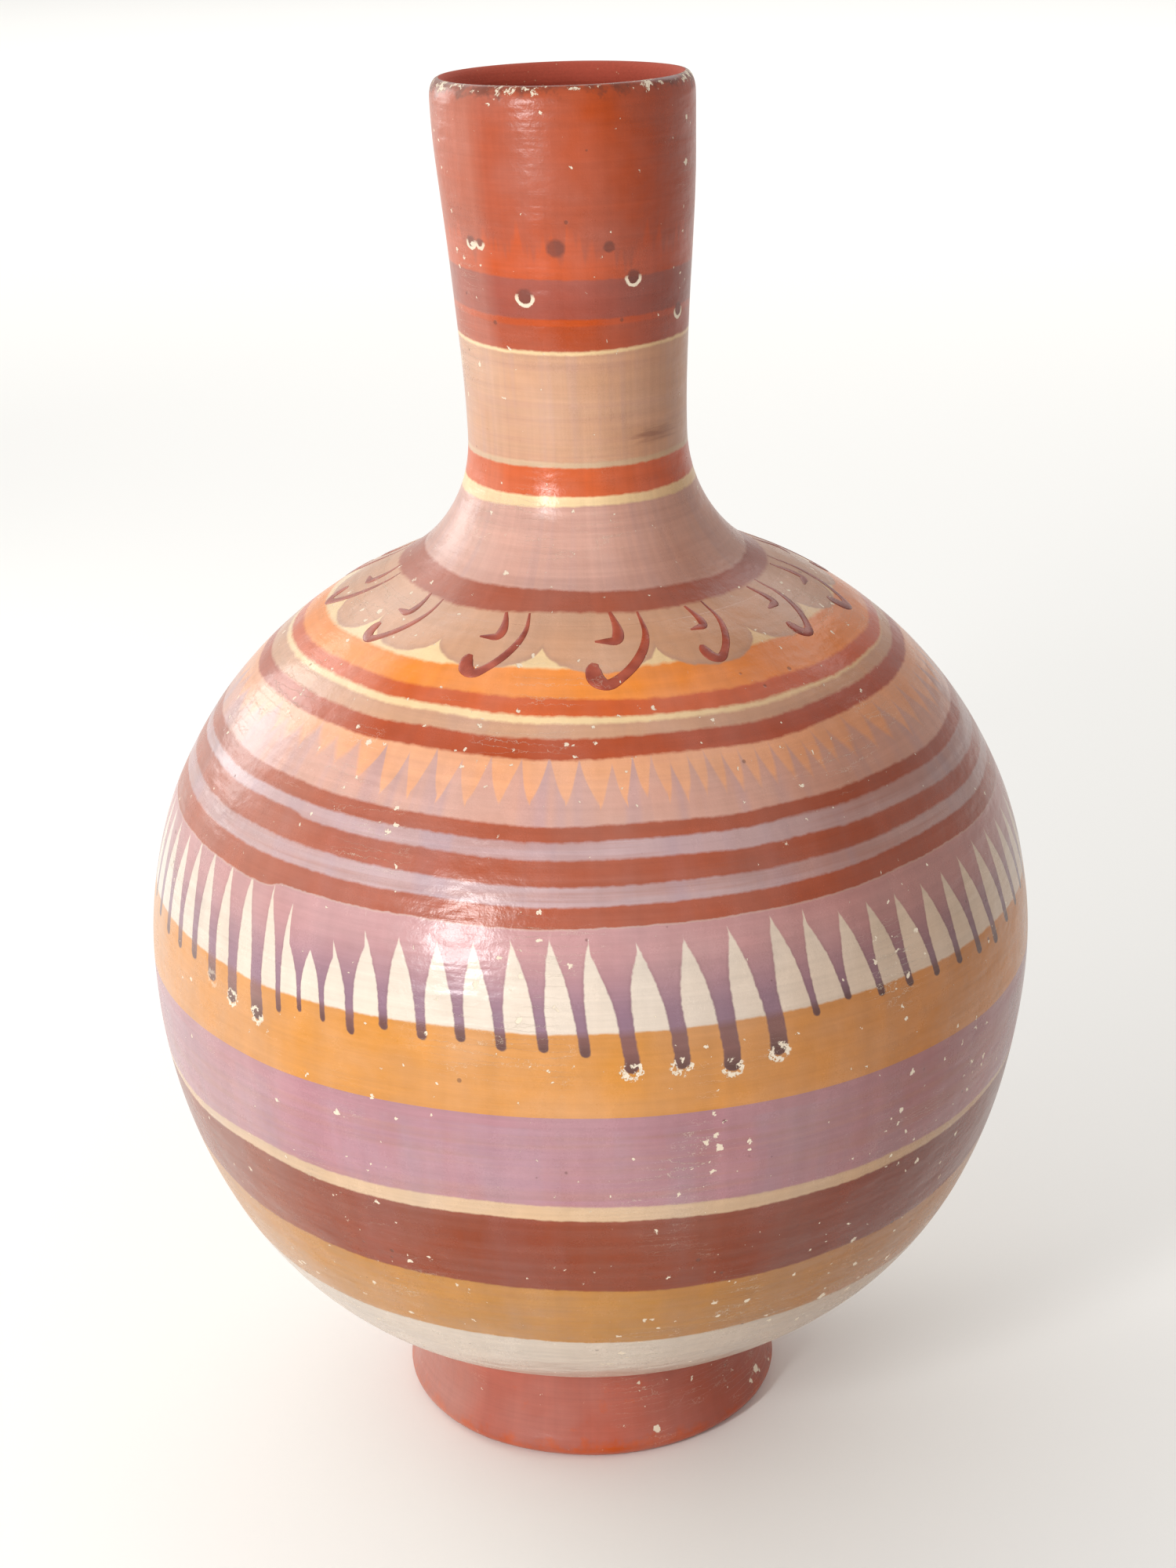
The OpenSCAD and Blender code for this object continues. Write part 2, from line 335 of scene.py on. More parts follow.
def turned_tree():
    """Turns a side view round the vertical axis into a closed wall, and lays its strips on a map."""
    found = bpy.data.node_groups.get("Turned Wall")
    if found:
        return found
    tree, given, result = new_tree("Turned Wall", (
        ("Side View", "NodeSocketGeometry"), ("Segments", "NodeSocketInt"), ("Strips", "NodeSocketInt"),
        *DRIFT_INPUTS, ("Outside", "NodeSocketMaterial"), ("Inside", "NodeSocketMaterial"),
        ("Bare", "NodeSocketMaterial")))
    count = put(tree, "GeometryNodeAttributeDomainSize", given["Side View"], component="MESH")
    around = put(tree, PLUS, given["Segments"], 1.0)
    grid = put(tree, "GeometryNodeMeshGrid", 1.0, 1.0, count, around)
    split = put(tree, SEPARATE, grid.node.outputs["UV Map"]).node
    turn = split.outputs[1]
    last = put(tree, MINUS, count, 1.0)
    step = put(tree, TIMES, split.outputs[0], last)
    index = put(tree, "FunctionNodeFloatToInt", step, rounding_mode="ROUND")
    side_view = given["Side View"]
    spot = put(tree, "GeometryNodeInputPosition")
    place = put(tree, "GeometryNodeSampleIndex", side_view, spot, index, data_type="FLOAT_VECTOR")
    skin_in = put(tree, READ_NUMBER, "skin")
    skin = put(tree, "GeometryNodeSampleIndex", side_view, skin_in, index, data_type="FLOAT")
    strip_in = put(tree, READ_NUMBER, "strip")
    strip = put(tree, "GeometryNodeSampleIndex", side_view, strip_in, index, data_type="FLOAT")

    # The map: each strip of wall takes one row, and the cuts between rows face the two sides.
    face_turn = put(tree, "GeometryNodeFieldOnDomain", turn, data_type="FLOAT", domain="FACE")
    face_row = put(tree, TIMES, face_turn, given["Strips"])
    row = put(tree, MATH, face_row, operation="FLOOR")
    along = put(tree, TIMES, turn, given["Strips"])
    u = put(tree, MINUS, along, row)
    u_in = put(tree, MAP, u, 0.0, 1.0, 0.002, 0.998)
    stacked = put(tree, PLUS, row, strip)
    v = put(tree, OVER, stacked, given["Strips"])
    uv = put(tree, COMBINE, u_in, v, 0.0)
    mesh = put(tree, STORE, grid, None, STRIP_MAP, uv,
               data_type="FLOAT2", domain="CORNER")
    mesh = put(tree, STORE, mesh, None, "skin", skin,
               data_type="FLOAT", domain="POINT")

    # The turn starts at the side, -90 degrees round from the front.
    angle = put(tree, TIMES, turn, math.tau)
    parts = put(tree, SEPARATE, place).node
    back = put(tree, TIMES, parts.outputs[0], -1.0)
    cosine = put(tree, MATH, angle, operation="COSINE")
    sine = put(tree, MATH, angle, operation="SINE")
    x = put(tree, TIMES, back, cosine)
    y = put(tree, TIMES, back, sine)
    true_place = put(tree, COMBINE, x, y, parts.outputs[2])
    mesh = put(tree, STORE, mesh, None, THROWN, true_place,
               data_type="FLOAT_VECTOR", domain="POINT")
    thrown = put(tree, READ, THROWN, data_type="FLOAT_VECTOR")
    mesh = put(tree, "GeometryNodeSetPosition", mesh, None, thrown)
    mesh = drifted(tree, mesh, thrown, given)
    mesh = put(tree, "GeometryNodeMergeByDistance", mesh, None, 2e-6)
    mesh = put(tree, "GeometryNodeFlipFaces", mesh)

    # Corners between two skins stay crisp.
    mesh = put(tree, "GeometryNodeSetShadeSmooth", mesh, None, True, domain="FACE")
    bend = put(tree, "GeometryNodeInputMeshEdgeAngle")
    corner = put(tree, ABOVE, bend, CREASE)
    mesh = put(tree, "GeometryNodeSetShadeSmooth", mesh, corner, False, domain="EDGE")
    mesh = put(tree, "GeometryNodeRealizeInstances", mesh)
    skin_out = put(tree, READ_NUMBER, "skin")
    mesh = put(tree, "GeometryNodeSetMaterial", mesh, None, given["Outside"])
    for level, label in ((0.5, "Inside"), (1.5, "Bare")):
        chosen = put(tree, ABOVE, skin_out, level)
        mesh = put(tree, "GeometryNodeSetMaterial", mesh, chosen, given[label])
    tree.links.new(mesh, result.inputs[0])
    return tree


def strokes_tree():
    """Lays flat brush strokes as raised slip on the wall, once at each anchor round the shoulder."""
    tree, given, result = new_tree("Brushed Hooks", (
        ("Drawing", "NodeSocketGeometry"), ("Start Length", "NodeSocketFloat"),
        ("Reach Radius", "NodeSocketFloat"), ("Flatness", "NodeSocketFloat"), *DRIFT_INPUTS,
        ("Slip", "NodeSocketMaterial"), ("Seed", "NodeSocketInt")))
    part = put(tree, READ_NUMBER, "part")
    kinds = []
    for value in (0.0, 1.0, 2.0):
        match = put(tree, "FunctionNodeCompare", part, value, 0.1, data_type="FLOAT", operation="EQUAL")
        kinds.append(put(tree, "GeometryNodeSeparateGeometry", given["Drawing"], match, domain="POINT"))
    wall = put(tree, "GeometryNodeMeshToCurve", kinds[0])
    width = put(tree, READ_NUMBER, HALF_WIDTH)
    strokes = put(tree, "GeometryNodeMeshToCurve", kinds[1])
    strokes = put(tree, "GeometryNodeCurveSplineType", strokes, spline_type="CATMULL_ROM")
    strokes = put(tree, "GeometryNodeSetSplineResolution", strokes, None, 5)
    bristles = put(tree, "GeometryNodeCurvePrimitiveCircle", 10, 1.0)
    ribbon = put(tree, "GeometryNodeCurveToMesh", strokes, bristles, width, True)
    scale = put(tree, COMBINE, 1.0, 1.0, given["Flatness"])
    ribbon = put(tree, "GeometryNodeTransform", ribbon, None, None, scale)
    turn = put(tree, "FunctionNodeRandomValue", (0, 0, -0.09), (0, 0, 0.09), None, given["Seed"],
               data_type="FLOAT_VECTOR")
    size = put(tree, READ_NUMBER, HALF_WIDTH)
    placed = put(tree, "GeometryNodeInstanceOnPoints", kinds[2], None, ribbon, None, None, turn, size)
    flat = put(tree, "GeometryNodeRealizeInstances", placed)

    # Wrap: x runs round the vase, y runs up the wall, and z stands off it.
    drawn = put(tree, SEPARATE, put(tree, "GeometryNodeInputPosition")).node
    length = put(tree, PLUS, given["Start Length"], drawn.outputs[1])
    sample = put(tree, "GeometryNodeSampleCurve", wall, 0.0, length, 0, mode="LENGTH").node
    at = put(tree, SEPARATE, sample.outputs["Position"]).node
    way = put(tree, SEPARATE, sample.outputs["Tangent"]).node
    lift = drawn.outputs[2]
    radius = put(tree, TIMES_PLUS, way.outputs[2], lift, at.outputs[0])
    down = put(tree, TIMES, way.outputs[0], -1.0)
    height = put(tree, TIMES_PLUS, down, lift, at.outputs[2])
    angle = put(tree, OVER, drawn.outputs[0], given["Reach Radius"])
    sine = put(tree, MATH, angle, operation="SINE")
    cosine = put(tree, MATH, angle, operation="COSINE")
    x = put(tree, TIMES, radius, sine)
    y_back = put(tree, TIMES, radius, cosine)
    y = put(tree, TIMES, y_back, -1.0)
    place = put(tree, COMBINE, x, y, height)
    mesh = put(tree, STORE, flat, None, THROWN, place,
               data_type="FLOAT_VECTOR", domain="POINT")
    thrown = put(tree, READ, THROWN, data_type="FLOAT_VECTOR")
    mesh = put(tree, "GeometryNodeSetPosition", mesh, None, thrown)
    mesh = drifted(tree, mesh, thrown, given)
    mesh = put(tree, "GeometryNodeSetShadeSmooth", mesh, None, True, domain="FACE")
    mesh = put(tree, "GeometryNodeRealizeInstances", mesh)
    mesh = put(tree, "GeometryNodeSetMaterial", mesh, None, given["Slip"])
    tree.links.new(mesh, result.inputs[0])
    return tree


def made_by(tree, mesh, name, values):
    """A finished object: the tree's result on the mesh, with the modifier's inputs set by identifier."""
    obj = bpy.data.objects.new(name, mesh)
    bpy.context.scene.collection.objects.link(obj)
    modifier = obj.modifiers.new("Made", "NODES")
    modifier.node_group = tree
    for item in tree.interface.items_tree:
        if item.in_out == "INPUT" and item.name in values:
            modifier[item.identifier] = values[item.name]
    obj.update_tag()
    graph = bpy.context.evaluated_depsgraph_get()
    final = bpy.data.meshes.new_from_object(obj.evaluated_get(graph))
    obj.modifiers.remove(modifier)
    obj.data = final
    final.name = name
    for leftover in ("skin", "part", HALF_WIDTH):
        if leftover in final.attributes:
            final.attributes.remove(final.attributes[leftover])
    if not final.polygons:
        raise RuntimeError(f"{name} came out empty")
    numbers = [face.material_index for face in final.polygons]
    slips = [final.materials[i] for i in sorted(set(numbers))]
    final.materials.clear()
    for slip in slips:
        final.materials.append(slip)
    order = {number: i for i, number in enumerate(sorted(set(numbers)))}
    final.polygons.foreach_set("material_index", [order[number] for number in numbers])
    return obj


def drift_values():
    shape = bpy.context.scene.vase_shape
    return {"Lean": shape.lean, "Foot Shift": shape.foot_shift,
            "Rim Dip": shape.rim_dip, "Swell": shape.swell}


def turned(name, node, sides, outside, inside, bare, strips=1):
    """Turns one wall of the vase and gives it its place in the frame."""
    points, skins, rows = [], [], []
    for skin, line in sides:
        low, high = (OUTSIDE_STRIP, INSIDE_STRIP, BARE_STRIP)[skin]
        line = [Vector(p) for p in line]
        lengths = [0.0]
        for a, b in zip(line, line[1:]):
            lengths.append(lengths[-1] + (b - a).length)
        for point, length in zip(line, lengths):
            points.append((point.x * MM, 0.0, point.y * MM))
            skins.append(skin)
            rows.append(low + (high - low) * length / lengths[-1])
    mesh = bpy.data.meshes.new(name)
    mesh.from_pydata(points, [(i, i + 1) for i in range(len(points) - 1)], [])
    for label, data in (("skin", skins), ("strip", rows)):
        mesh.attributes.new(label, "FLOAT", "POINT").data.foreach_set("value", data)
    obj = made_by(turned_tree(), mesh, name, {
        "Segments": bpy.context.scene.vase_shape.segments, "Strips": strips, "Outside": outside,
        "Inside": inside, "Bare": bare, **drift_values()})
    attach(obj, BODY)
    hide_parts(node)
    return obj


# ---------------------------------------------------------------------------------------------
# Slips and brushwork
# ---------------------------------------------------------------------------------------------

# The potter's slips: one pot of each, used for every band that it painted. The colours were
# judged in coarse steps.
BRICK = "#b05030"
FLAME_RED = "#c05020"
BRUSHED_MAROON = "#a05040"
VERMILION = "#d06030"
RUST = "#a85840"
ORANGE = "#f09040"
AMBER = "#d09050"
OCHRE = "#b88040"
PEACH = "#e8a880"
CREAM = "#f0d0a0"
WORN_CREAM = "#d0b090"
BONE = "#e0d0c0"
TAN_WASH = "#d0a080"
DUSTY_ROSE = "#d0a090"
LILAC = "#c0a0a0"
MAUVE = "#c09090"
PURPLE_STEM = "#907080"
LAVENDER = "#b08088"
MAROON = "#884028"
GREY_CLAY = "#d0c0b0"
DUSTY_BRICK = "#b06050"
STROKE_RED = "#b4563f"
STROKE_DEEP = "#8e3a29"
DRIED_BROWN = "#85594c"
GRIME = "#6d3a2b"
FLAKED = "#eadfcf"
CREAM_GROUND = "#ead9c2"

# A band of slip starts at its top edge and runs down to the next band. The edge is at `top` at the
# front, and changes by `front` x (1 - cos angle) + `side` x sin angle + `step` left of the brush's
# overlap. `wash` is how much of the thin purple wash and of the pink brush lines it shows.
Band = namedtuple("Band", "name top front side step slip wash", defaults=(0.0,))

NECK_BANDS = [
    Band("orange_patch", 414.0, 0, -0.6, 0, FLAME_RED),
    Band("maroon_brush", 393.5, 0, -0.5, 0, BRUSHED_MAROON),
    Band("orange_streak", 381.5, 0, -0.4, 0, FLAME_RED),
    Band("red_low", 379.5, 0, -0.4, 0, BRICK),
    Band("cream_hair", 371.8, 0.3, 0, 0, CREAM),
    Band("neck_wash", 370.7, 0.3, 0, 0, TAN_WASH, 0.3),
    Band("cream_line", 337.3, 0.2, 0, 0, WORN_CREAM),
    Band("collar_red", 335.6, 0.2, 0, 0, VERMILION),
    Band("yellow_line", 327.0, 0.3, 0, 0, CREAM),
    Band("flare_wash", 324.2, -0.8, 0.6, 0, DUSTY_ROSE, 0.35),
    Band("dark_brick", 301.8, 0.6, -0.8, 0, RUST),
    Band("petal", 296.9, 0, 0.1, 0, TAN_WASH),
]

SHOULDER_BANDS = [
    Band("gap_cream", 290.9, 0, 0, 0, CREAM),
    Band("orange_ring", 286.4, -1.2, 1.2, 0, ORANGE),
    Band("thin_red", 280.3, -1.7, -0.4, 0, VERMILION),
    Band("cream_ring", 276.7, -1.0, -0.5, 0, CREAM),
    Band("taupe_ring", 275.2, 0, 0, 0, TAN_WASH, 0.2),
    Band("red_ring_1", 272.1, -0.6, 0.6, 0, BRICK),
    Band("peach", 267.4, 0.3, 0.6, 0, PEACH, 0.15),
    Band("red_ring_2", 252.1, 0.8, 0, 0, RUST),
    Band("lilac_ring_2", 248.4, 0, 0.4, 0, LILAC, 0.8),
    Band("red_ring_3", 244.1, -1.2, -0.6, 1.0, RUST, 0.15),
    Band("lilac_ring_3", 237.7, 0.5, 0, 0, LILAC, 0.8),
    Band("red_ring_4", 232.7, 0.8, 0.6, 0, RUST, 0.1),
    Band("arch_cream", 227.0, 0, 0.6, -1.6, BONE),
    Band("body_orange", 198.0, -1.0, 0, 0, AMBER),
    Band("lavender", 168.0, -1.0, 0, 0, LAVENDER, 0.6),
]

BOWL_BANDS = [
    SHOULDER_BANDS[-1],
    Band("cream_belt", 141.2, 0.6, -1.4, 0, WORN_CREAM),
    Band("maroon_belt", 135.8, 6.0, -0.8, 0, MAROON, 0.1),
    Band("ochre_belt", 107.6, 11.0, -1.5, 0, OCHRE, 0.1),
    Band("grey_base", 82.3, 6.0, -1.0, 0, GREY_CLAY),
]


def places(tree):
    """What the brushwork is laid out by: height and angle on the thrown vase, in millimetres and degrees."""
    thrown = put(tree, "ShaderNodeAttribute", out=1, attribute_name=THROWN)
    point = put(tree, VECTOR_MATH, thrown, 1 / MM, operation="SCALE")
    split = put(tree, SEPARATE, point).node
    x, y, z = split.outputs
    flat = put(tree, COMBINE, x, y, 0.0)
    radius = put(tree, VECTOR_MATH, flat, operation="LENGTH")
    ring = put(tree, VECTOR_MATH, flat, operation="NORMALIZE")
    to_front = put(tree, TIMES, y, -1.0)
    turn = put(tree, MATH, x, to_front, operation="ARCTAN2")
    angle = put(tree, TIMES, turn, 180 / math.pi)
    around = put(tree, MATH, angle, 270.0, -90.0, operation="WRAP")
    # A banding wheel turned by hand: edges wander slowly, and the bristles leave them a little ragged.
    slow = put(tree, NOISE, point, 0.018, 1.0, 0.5)
    ragged = put(tree, NOISE, point, 0.32, 2.0, 0.6)
    wander = put(tree, MAP, slow, 0.0, 1.0, -1.5, 1.5)
    fray = put(tree, MAP, ragged, 0.0, 1.0, -0.45, 0.45)
    drift = put(tree, PLUS, wander, fray)
    hand_z = put(tree, PLUS, z, drift)
    # The reds and the arches were brushed in turns that start and stop left of the front.
    sides = chart(tree, angle, -180, 180, [
        (-150, 0, 0, 0), (-110, 1, 0, 1), (-45.5, 1, 0, 1), (-43.5, 0.75, 0, 0), (-36, 0, 0, 0), (5, 0, 0, 0),
        (42, 0, 1, 0), (110, 0, 1, 0), (150, 0, 0, 0)])
    # The chart's first channel marks the left side for its painted sheen, its second the right side for its
    # painted shade and the flames' lean, and its third the brushing step.
    lean = put(tree, CHANNELS, sides).node
    unit = put(tree, SEPARATE, ring).node
    front = put(tree, PLUS, unit.outputs[1], 1.0)
    across = put(tree, COMBINE, front, unit.outputs[0], lean.outputs[2])
    return {"point": point, "z": z, "hand_z": hand_z, "radius": radius, "ring": ring, "angle": angle,
            "around": around, "left": lean.outputs[0], "right": lean.outputs[1], "across": across}


def drawn_noise(tree, place, stretch, scale, detail, roughness=0.5):
    """Noise drawn out along the axes that the stretch makes small."""
    drawn = put(tree, VECTOR_MATH, place, stretch, operation="MULTIPLY")
    return put(tree, NOISE, drawn, scale, detail, roughness)


def run_noise(tree, at, per_ring, per_mm, scale, detail):
    """Noise in streaks that run down the wall: it changes fast round the vase and slowly with height."""
    ring = put(tree, VECTOR_MATH, at["ring"], (per_ring,) * 3, operation="MULTIPLY")
    drop = put(tree, VECTOR_MATH, at["point"], (0.0, 0.0, per_mm), operation="MULTIPLY")
    both = put(tree, VECTOR_MATH, ring, drop, operation="ADD")
    return put(tree, NOISE, both, scale, detail, 0.6)


def repeats(tree, place, pitch, count, rounding="ROUND"):
    """Counts off a repeated brush mark: the place across it, its number and its luck."""
    cells = put(tree, OVER, place, pitch)
    number = put(tree, MATH, cells, operation=rounding)
    offset = put(tree, MINUS, cells, number)
    index = put(tree, MATH, number, float(count), operation="FLOORED_MODULO")
    return offset, index, put(tree, "ShaderNodeTexWhiteNoise", index, noise_dimensions="1D")


def chart(tree, value, low, high, rows):
    """Reads up to three numbers from 0 to 1 off a chart by value; rows are (value, number, ...)."""
    place = put(tree, MAP, value, low, high, 0.0, 1.0)
    read = put(tree, RAMP, place)
    ramp = read.node.color_ramp
    for i, (at, *numbers) in enumerate(sorted(rows)):
        share = (at - low) / (high - low)
        stop = ramp.elements[i] if i < 2 else ramp.elements.new(share)
        stop.position = share
        stop.color = (*numbers, *[0.0] * (3 - len(numbers)), 1.0)
    return read


EDGE_SOFT = 0.35       # half the width over which a brushed edge fades


def band_edge(tree, at, band):
    """How far below a band's top edge each point is, from 0 above it to 1 below it."""
    change = put(tree, VECTOR_MATH, at["across"], (band.front, band.side, band.step), operation="DOT_PRODUCT")
    level = put(tree, MINUS, at["hand_z"], change)
    return put(tree, MAP, level, band.top + EDGE_SOFT, band.top - EDGE_SOFT, 0.0, 1.0)


def painted_side_light(tree, at, colour):
    """Painted light and shade over the whole surface: a pale painted sheen on the lit left side, and painted
    shade that deepens the right side.
    """
    # Painted highlight: a pale sheen laid over the left side, where the light falls.
    painted_left_sheen = put(tree, TIMES, at["left"], 0.13)
    colour = put(tree, LAY, painted_left_sheen, colour, linear("#d2bcae"))
    # Painted shade: the right side is darkened, away from the light.
    return put(tree, LAY, at["right"], colour, linear("#ddcdc0"), blend_type="MULTIPLY")


def paint_bands(tree, at, colour, bands):
    """Lays bands of slip one under another, each over what is above it."""
    streak = run_noise(tree, at, 15.0, 0.018, 0.55, 3.0)
    washed = put(tree, MAP, streak, 0.48, 0.64, 0.0, 1.0)
    stroke = drawn_noise(tree, at["point"], (0.008, 0.008, 0.30), 1.0, 3.0, 0.6)
    stroked = put(tree, MAP, stroke, 0.46, 0.62, 0.0, 0.7)
    for band in bands:
        slip = linear(band.slip)
        if band.wash:
            depth = put(tree, TIMES, stroked, band.wash)
            slip = put(tree, LAY, depth, slip, linear("#b07f74"))
            depth = put(tree, TIMES, washed, 0.42 * band.wash)
            slip = put(tree, LAY, depth, slip, linear("#a5909e"))
        colour = put(tree, LAY, band_edge(tree, at, band), colour, slip)
    return colour


TONGUES = 75              # brush tongues round the vase
TONGUE_SKIP = 4.4         # degrees by which the tongues spread out over this span, right of the front
SKIP_SPAN = (3.0, 26.5)
TONGUE_CROWD = 4.5        # degrees by which they crowd together over this span, left of the front
CROWD_SPAN = (-42.5, -31.0)
TONGUE_PITCH = (360 - TONGUE_SKIP + TONGUE_CROWD) / TONGUES
# By angle: where a tongue's tip ends, where the cream arch on its left peaks, and its half-width
TONGUE_CHART = [
    (-86, 194.5, 225, 1.6), (-62, 192, 226, 1.7), (-56.8, 191.3, 228, 2.0), (-51.8, 190.3, 228, 2.4),
    (-47.5, 186.8, 228.5, 2.5), (-42.5, 184.3, 227, 2.7), (-39.6, 193.5, 224, 1.1),
    (-36.4, 193.3, 211, 1.2), (-33.0, 192.3, 212, 1.3), (-29.3, 191.3, 218, 1.4),
    (-24, 193.7, 221, 1.5), (-14.5, 193.4, 221.5, 1.5), (-9.7, 191.7, 222, 1.6),
    (-0.2, 190.8, 224, 1.6), (4.5, 186.2, 221, 1.85), (10, 185.4, 222, 1.85), (15.3, 182.2, 222, 2.2),
    (21.2, 185.2, 226, 2.5), (27.9, 195.2, 226, 1.1), (33, 196.3, 220.5, 1.3), (38, 194.5, 223, 1.4),
    (47.2, 193.7, 221, 1.4), (57.2, 192.3, 222, 1.5), (62, 191.5, 225, 1.6), (72, 194.5, 222, 1.4),
    (98, 190, 224, 1.7), (112, 184, 227, 2.5), (117, 195, 219, 1.2),
    (176, 184.5, 227, 2.5), (181, 195, 215, 1.2), (236, 186, 227, 2.4), (241, 195, 220, 1.3)]


def tongue_number(angle):
    """Which tongue stands at an angle, counted on from the one at the front."""
    spread, crowd = [min(max((angle - low) / (high - low), 0), 1) for low, high in (SKIP_SPAN, CROWD_SPAN)]
    return (angle + 0.6 - TONGUE_SKIP * spread + TONGUE_CROWD * (crowd - 1)) / TONGUE_PITCH


def brush_tongues(tree, at, colour, zone):
    """Loaded-brush tongues: mauve slip that narrows down over a cream ground and ends in a drop."""
    tilt = chart(tree, at["around"], -90, 270, [
        (-90, 0.5), (-44, 0.5), (-39, 0.78), (10, 0.74), (24, 0.5), (29, 0.2), (62, 0.2), (90, 0.5)])
    slant = put(tree, MAP, tilt, 0.0, 1.0, -0.16, 0.16)
    rise = put(tree, MAP, at["z"], 190.0, 226.0, 0.0, 20.0)
    lean = put(tree, TIMES, slant, rise)
    upright = put(tree, MINUS, at["around"], lean)
    skip = put(tree, MAP, upright, *SKIP_SPAN, 0.0, TONGUE_SKIP)
    crowd = put(tree, MAP, upright, *CROWD_SPAN, -TONGUE_CROWD, 0.0)
    shifts = put(tree, MINUS, crowd, skip)
    level = put(tree, PLUS, upright, shifts)
    wobble = put(tree, NOISE, at["point"], 0.05, 1.0, 0.5)
    unsteady = put(tree, MAP, wobble, 0.0, 1.0, 0.25, 0.95)
    steady = put(tree, PLUS, level, unsteady)
    offset, index, luck = repeats(tree, steady, TONGUE_PITCH, TONGUES)
    first = tongue_number(-88)
    rows = [((tongue_number(a) - first) % TONGUES, (tip - 180) / 50, (peak - 200) / 50, half / 4)
            for a, tip, peak, half in TONGUE_CHART]
    shifted = put(tree, PLUS, index, -first)
    place = put(tree, MATH, shifted, float(TONGUES), operation="FLOORED_MODULO")
    read = put(tree, CHANNELS, chart(tree, place, 0, TONGUES, rows)).node
    change = put(tree, MAP, luck, 0.0, 1.0, -1.0, 1.0)
    tip_level = put(tree, MAP, read.outputs[0], 0.0, 1.0, 180.0, 230.0)
    tip = put(tree, PLUS, tip_level, change)
    peak_level = put(tree, MAP, read.outputs[1], 0.0, 1.0, 200.0, 250.0)
    peak = put(tree, TIMES_PLUS, change, 1.2, peak_level)
    half = put(tree, TIMES, read.outputs[2], 4.0)

    # Across the tongue, in millimetres, and its width at each height
    mm_each = put(tree, TIMES, at["radius"], math.radians(TONGUE_PITCH))
    across = put(tree, TIMES, offset, mm_each)
    side = put(tree, MATH, across, operation="ABSOLUTE")
    climb = put(tree, MAP, at["z"], 199.0, peak, 0.0, 1.0)
    curve = put(tree, POWER, climb, 2.1)
    room = put(tree, TIMES_PLUS, mm_each, 0.52, half)
    reach = put(tree, TIMES_PLUS, half, -2.0, room)
    width = put(tree, TIMES_PLUS, reach, curve, half)
    tip_top = put(tree, PLUS, tip, half)
    beyond = put(tree, MINUS, tip_top, at["z"])
    below = put(tree, MATH, beyond, 0.0, operation="MAXIMUM")
    spot = put(tree, COMBINE, side, below, 0.0)
    far = put(tree, VECTOR_MATH, spot, operation="LENGTH")
    fray = put(tree, NOISE, at["point"], 0.5, 2.0, 0.6)
    loose = put(tree, MAP, fray, 0.0, 1.0, -0.35, 0.35)
    edge = put(tree, PLUS, far, loose)
    past = put(tree, MINUS, edge, width)
    inside = put(tree, MAP, past, 0.22, -0.22, 0.0, 1.0)
    mask = put(tree, TIMES, inside, zone)

    down = put(tree, MAP, at["z"], 222.0, 200.0, 0.0, 1.0, interpolation_type="SMOOTHSTEP")
    slip = put(tree, LAY, down, linear(MAUVE), linear(PURPLE_STEM))
    over_orange = put(tree, MAP, at["hand_z"], 199.0, 196.5, 0.0, 0.8)
    slip = put(tree, LAY, over_orange, slip, linear(DRIED_BROWN))
    pooled = put(tree, MAP, beyond, -5.0, 2.0, 0.0, 0.9)
    slip = put(tree, LAY, pooled, slip, linear("#54362f"))
    brim = put(tree, MAP, past, -0.9, 0.0, 0.0, 0.3)
    lower = put(tree, MAP, curve, 0.75, 0.35, 0.0, 1.0)
    brim = put(tree, TIMES, brim, lower)
    slip = put(tree, LAY, brim, slip, linear("#7c5a5e"))
    colour = put(tree, LAY, mask, colour, slip)

    # The heaviest drops blistered in the fire: a flaked cream ring round a dark middle
    heart = put(tree, MINUS, beyond, 1.3)
    drop = put(tree, COMBINE, across, heart, 0.0)
    reach = put(tree, VECTOR_MATH, drop, operation="LENGTH")
    flakes = put(tree, NOISE, at["point"], 0.75, 3.0, 0.7)
    rough = put(tree, MAP, flakes, 0.0, 1.0, -3.0, 3.0)
    ring = put(tree, PLUS, reach, rough)
    off_ring = put(tree, MINUS, ring, 2.1)
    near = put(tree, MATH, off_ring, operation="ABSOLUTE")
    flaked = put(tree, MAP, near, 0.75, 0.45, 0.0, 1.0)
    heavy = put(tree, MAP, tip, 190.3, 188.3, 0.0, 1.0)
    close = put(tree, MAP, reach, 3.4, 2.8, 0.0, 1.0)
    broken = put(tree, NOISE, at["point"], 0.42, 1.0, 0.5)
    held = put(tree, MAP, broken, 0.43, 0.49, 0.0, 1.0)
    close = put(tree, TIMES, close, held)
    scab = put(tree, TIMES, flaked, heavy)
    scab = put(tree, TIMES, scab, close)
    scab = put(tree, TIMES, scab, zone)
    return put(tree, LAY, scab, colour, linear(FLAKED)), scab


def water_runs(tree, at, colour):
    """Faint grey runs where dirty water dried on its way down the front."""
    wander = drawn_noise(tree, at["point"], (0.0, 0.0, 0.02), 1.0, 2.0)
    bent = put(tree, TIMES_PLUS, wander, 6.0, at["angle"])
    depth = chart(tree, bent, -60, 60, [
        (-24, 0), (-20, 0.3), (-16, 0), (1, 0), (4, 0.5), (6, 0.1), (10, 0.35), (14, 0.9), (17, 0.8),
        (18, 0.1), (24, 0.05), (26, 0.7), (30, 0.4), (32, 0), (50, 0), (52, 0.4), (57, 0)])
    high = put(tree, MAP, at["z"], 238.0, 215.0, 0.0, 1.0, interpolation_type="SMOOTHSTEP")
    low = put(tree, MAP, at["hand_z"], 92.0, 120.0, 0.0, 1.0, interpolation_type="SMOOTHSTEP")
    reach = put(tree, TIMES, high, low)
    share = put(tree, TIMES, depth, reach)
    share = put(tree, TIMES, share, 0.45)
    return put(tree, LAY, share, colour, linear("#8a7468"))


FLAMES = 75


